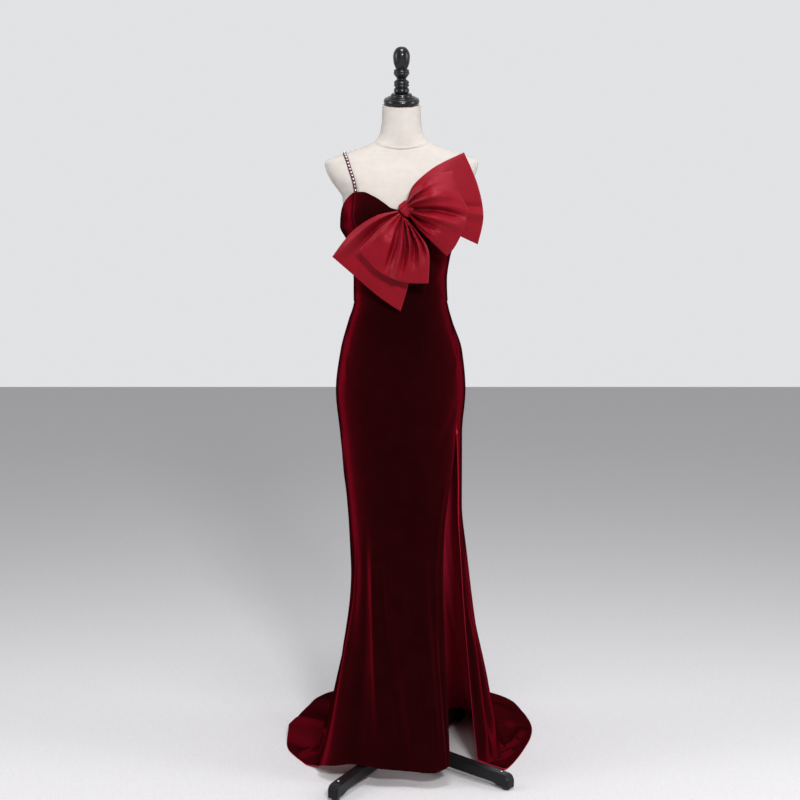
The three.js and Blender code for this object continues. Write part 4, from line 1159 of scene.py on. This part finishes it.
def make_stand():
    """The turned cap and finial on the neck, and finishes for the pole, hub, legs and feet."""
    for name, profile in (("neck_cap", CAP_PROFILE), ("finial", FINIAL_PROFILE)):
        turned = turned_piece(name + "_turned", profile, NECK_TILT, (0.0, 0.0, NECK_TOP))
        finished(turned, "black_lacquer", "black_wood", name)
    repaint("pole", "black_paint")
    repaint("hub", "black_paint")
    for i in range(len(LEG_ANGLES)):
        repaint(f"leg_{i + 1}", "black_paint")
        repaint(f"foot_{i + 1}", "foot_rubber")
    make_screws()


def repaint(name, material):
    """A procedural finish for a node that stays as the solids have it."""
    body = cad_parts[name]
    body.data.materials.clear()
    body.data.materials.append(finish(material))


SCREW_FROM_TIP = 30.0


def make_screws():
    """A small bright screw head on the ridge near each leg's tip."""
    at = LEG_REACH - SCREW_FROM_TIP
    height = LEG_TIP + (LEG_HUB - LEG_TIP) * SCREW_FROM_TIP / LEG_REACH + 0.4
    angles = np.radians(LEG_ANGLES)
    ahead = np.stack([np.sin(angles), -np.cos(angles), np.zeros(len(angles))], -1)
    up = np.array([0.0, 0.0, 1.0]) + 0 * ahead
    frames = (ahead * at + up * height, np.cross(ahead, up), ahead, up)
    profile = [(0, 0.0), (2.6, 0.0), (2.6, 0.7), (1.7, 1.4), (0, 1.6)]
    finished(repeat_shape("leg_screws", profile, 16, frames), "screw_metal", "black_metal")


# Stage: the photo's camera stands 4.2 m in front at 1.4 m, tipped 6.5 degrees down
CAMERA_BACK, CAMERA_HEIGHT, CAMERA_TIP = 4.2, 1.4, math.radians(6.5)
IMAGE_SIZE, FOCAL_PIXELS, AXIS_PIXEL = 800, 1690.0, 401.5
SENSOR_WIDE = 36.0
FLOOR_REACH, FLOOR_BELOW = 9000.0, 0.5


def make_camera():
    """The photo's camera, moved aside so that the form's axis falls on its pixel column."""
    data = bpy.data.cameras.new("photo_camera")
    data.sensor_width = SENSOR_WIDE
    data.lens = FOCAL_PIXELS * SENSOR_WIDE / IMAGE_SIZE
    camera = bpy.data.objects.new("photo_camera", data)
    aside = (AXIS_PIXEL - IMAGE_SIZE / 2) / FOCAL_PIXELS * CAMERA_BACK
    camera.location = (AXIS[0] - aside, AXIS[1] - CAMERA_BACK, CAMERA_HEIGHT)
    camera.rotation_euler = (math.pi / 2 - CAMERA_TIP, 0, 0)
    bpy.context.scene.collection.objects.link(camera)
    bpy.context.scene.camera = camera


def make_floor():
    """A pale floor half a millimetre under the feet."""
    count = 3
    x, y = np.meshgrid(*[np.linspace(-FLOOR_REACH, FLOOR_REACH, count)] * 2, indexing="ij")
    grid = np.stack([x, y, np.full_like(x, -FLOOR_BELOW)], -1)
    floor = new_mesh("studio_floor", grid.reshape(-1, 3), quads_of(count, count))
    floor.data.materials.append(plain_finish("studio_floor_pale", (0.6, 0.59, 0.6), 0.9, 0.1, 500.0, 0.02))


def make_light(name, place, aim, size, power):
    """A soft rectangular lamp in metres from the form's foot, turned to face its aim."""
    data = bpy.data.lights.new(name, "AREA")
    data.shape = "RECTANGLE"
    data.size, data.size_y = size
    data.energy = power
    lamp = bpy.data.objects.new(name, data)
    place, aim = np.array(place), np.array(aim)
    lamp.location = place + AXIS
    away = aim - place
    tip = math.acos(-away[2] / np.linalg.norm(away))
    lamp.rotation_euler = (tip, 0, math.atan2(away[1], away[0]) - math.pi / 2)
    bpy.context.scene.collection.objects.link(lamp)


def make_lights(light):
    """Four soft lamps, and a pale wall all round that is brighter behind the gown than before it."""
    middle = (0.0, 0.0, 1.0)
    for name, place, aim, size, power in (
        ("front_light", (0.7, -3.9, 2.5), middle, (0.5, 0.35), 132),
        ("left_light", (-2.5, -0.6, 1.8), middle, (0.9, 1.8), 26),
        ("right_light", (2.5, -0.6, 1.8), middle, (0.9, 1.8), 28),
        ("top_light", (0.15, -1.0, 3.4), (0.0, -0.1, 1.3), (0.8, 0.6), 40),
    ):
        make_light(name, place, aim, size, power * light)
    world = bpy.data.worlds.new("studio_world")
    world.use_nodes = True
    tree = world.node_tree
    background = with_values(tree.nodes["Background"], {"Color": (0.95, 0.955, 0.98, 1)})
    direction = tree.nodes.new("ShaderNodeTexCoord").outputs["Generated"]
    behind = node(tree, "ShaderNodeSeparateXYZ", direction).outputs["Y"]
    strength = node(
        tree, "ShaderNodeMapRange", behind, From_Min=-0.5, From_Max=0.5, To_Min=0.28, To_Max=0.8)
    tree.links.new(strength.outputs["Result"], background.inputs["Strength"])
    bpy.context.scene.world = world
    bpy.context.scene.view_settings.view_transform = "Standard"


# Add-on

class GownColours(bpy.types.PropertyGroup):
    velvet: bpy.props.FloatVectorProperty(
        name="Velvet", description="Colour of the velvet seen straight on", subtype="COLOR", size=3,
        min=0, max=1, default=(0.009, 0.0009, 0.0012))
    velvet_pile: bpy.props.FloatVectorProperty(
        name="Velvet pile", description="Colour of the pile seen along the surface", subtype="COLOR", size=3,
        min=0, max=1, default=(0.7, 0.008, 0.04))
    velvet_back: bpy.props.FloatVectorProperty(
        name="Velvet back", description="Colour of the velvet's knitted inner side", subtype="COLOR", size=3,
        min=0, max=1, default=(0.36, 0.006, 0.026))
    satin: bpy.props.FloatVectorProperty(
        name="Satin", description="Colour of the bow", subtype="COLOR", size=3,
        min=0, max=1, default=(0.172, 0.0022, 0.0072))
    linen: bpy.props.FloatVectorProperty(
        name="Linen", description="Colour of the form's cover", subtype="COLOR", size=3,
        min=0, max=1, default=(0.46, 0.424, 0.395))


class GownSizes(bpy.types.PropertyGroup):
    crystal_pitch: bpy.props.FloatProperty(
        name="Crystal spacing", description="From one of the strap's crystals to the next",
        unit="LENGTH", precision=4, min=0.004, max=0.03, default=0.0092)
    crystal_size: bpy.props.FloatProperty(
        name="Crystal size", description="Width of a crystal with its setting",
        unit="LENGTH", precision=4, min=0.003, max=0.008, default=0.0062)


class GownStudio(bpy.types.PropertyGroup):
    light: bpy.props.FloatProperty(
        name="Light", description="Strength of the studio lights", subtype="FACTOR",
        min=0.1, max=5.0, default=1.0)


class GOWN_OT_skirt(bpy.types.Operator):
    """Skirt panels from the waist seam to the hem and the train"""
    bl_idname = "gown.skirt"
    bl_label = "Skirt"

    def execute(self, context):
        make_skirt()
        return {"FINISHED"}


class GOWN_OT_bodice(bpy.types.Operator):
    """Bodice panels with cups, princess seams and a plain back"""
    bl_idname = "gown.bodice"
    bl_label = "Bodice"

    def execute(self, context):
        make_bodice()
        repaint("back_zip", "zip_tape")
        repaint("zip_pull", "black_paint")
        return {"FINISHED"}


class GOWN_OT_strap(bpy.types.Operator):
    """Ribbon strap with a row of set crystals"""
    bl_idname = "gown.strap"
    bl_label = "Strap"

    def execute(self, context):
        make_strap(context.scene.gown_sizes)
        return {"FINISHED"}


class GOWN_OT_bow(bpy.types.Operator):
    """Two layers of satin wings and their knot"""
    bl_idname = "gown.bow"
    bl_label = "Bow"

    def execute(self, context):
        make_bow()
        return {"FINISHED"}


class GOWN_OT_form(bpy.types.Operator):
    """Linen-covered dress form"""
    bl_idname = "gown.form"
    bl_label = "Dress form"

    def execute(self, context):
        make_form()
        return {"FINISHED"}


class GOWN_OT_stand(bpy.types.Operator):
    """Turned cap and finial, pole and base"""
    bl_idname = "gown.stand"
    bl_label = "Stand"

    def execute(self, context):
        make_stand()
        return {"FINISHED"}


class GOWN_OT_stage(bpy.types.Operator):
    """Pale floor, soft lights and the photo's camera"""
    bl_idname = "gown.stage"
    bl_label = "Stage"

    def execute(self, context):
        make_camera()
        make_floor()
        make_lights(context.scene.gown_studio.light)
        return {"FINISHED"}


OPERATORS = (
    GOWN_OT_stage, GOWN_OT_skirt, GOWN_OT_bodice, GOWN_OT_strap, GOWN_OT_bow, GOWN_OT_form, GOWN_OT_stand,
)


class GOWN_PT_panel(bpy.types.Panel):
    """Colours, sizes, light and a button for each group of pieces"""
    bl_idname = "GOWN_PT_panel"
    bl_label = "Gown"
    bl_space_type = "VIEW_3D"
    bl_region_type = "UI"
    bl_category = "Gown"

    def draw(self, context):
        scene = context.scene
        for name in ("velvet", "velvet_pile", "velvet_back", "satin", "linen"):
            self.layout.prop(scene.gown_colours, name)
        for name in ("crystal_pitch", "crystal_size"):
            self.layout.prop(scene.gown_sizes, name)
        self.layout.prop(scene.gown_studio, "light")
        for operator in OPERATORS:
            self.layout.operator(operator.bl_idname)


CLASSES = (GownColours, GownSizes, GownStudio, *OPERATORS, GOWN_PT_panel)


def register():
    for cls in CLASSES:
        bpy.utils.register_class(cls)
    bpy.types.Scene.gown_colours = bpy.props.PointerProperty(type=GownColours)
    bpy.types.Scene.gown_sizes = bpy.props.PointerProperty(type=GownSizes)
    bpy.types.Scene.gown_studio = bpy.props.PointerProperty(type=GownStudio)


def unregister():
    del bpy.types.Scene.gown_studio
    del bpy.types.Scene.gown_sizes
    del bpy.types.Scene.gown_colours
    for cls in reversed(CLASSES):
        bpy.utils.unregister_class(cls)


def main():
    """Makes the stage and every group of pieces."""
    register()
    bpy.ops.gown.stage()
    bpy.ops.gown.skirt()
    bpy.ops.gown.bodice()
    bpy.ops.gown.strap()
    bpy.ops.gown.bow()
    bpy.ops.gown.form()
    bpy.ops.gown.stand()


if __name__ == "__main__":
    main()
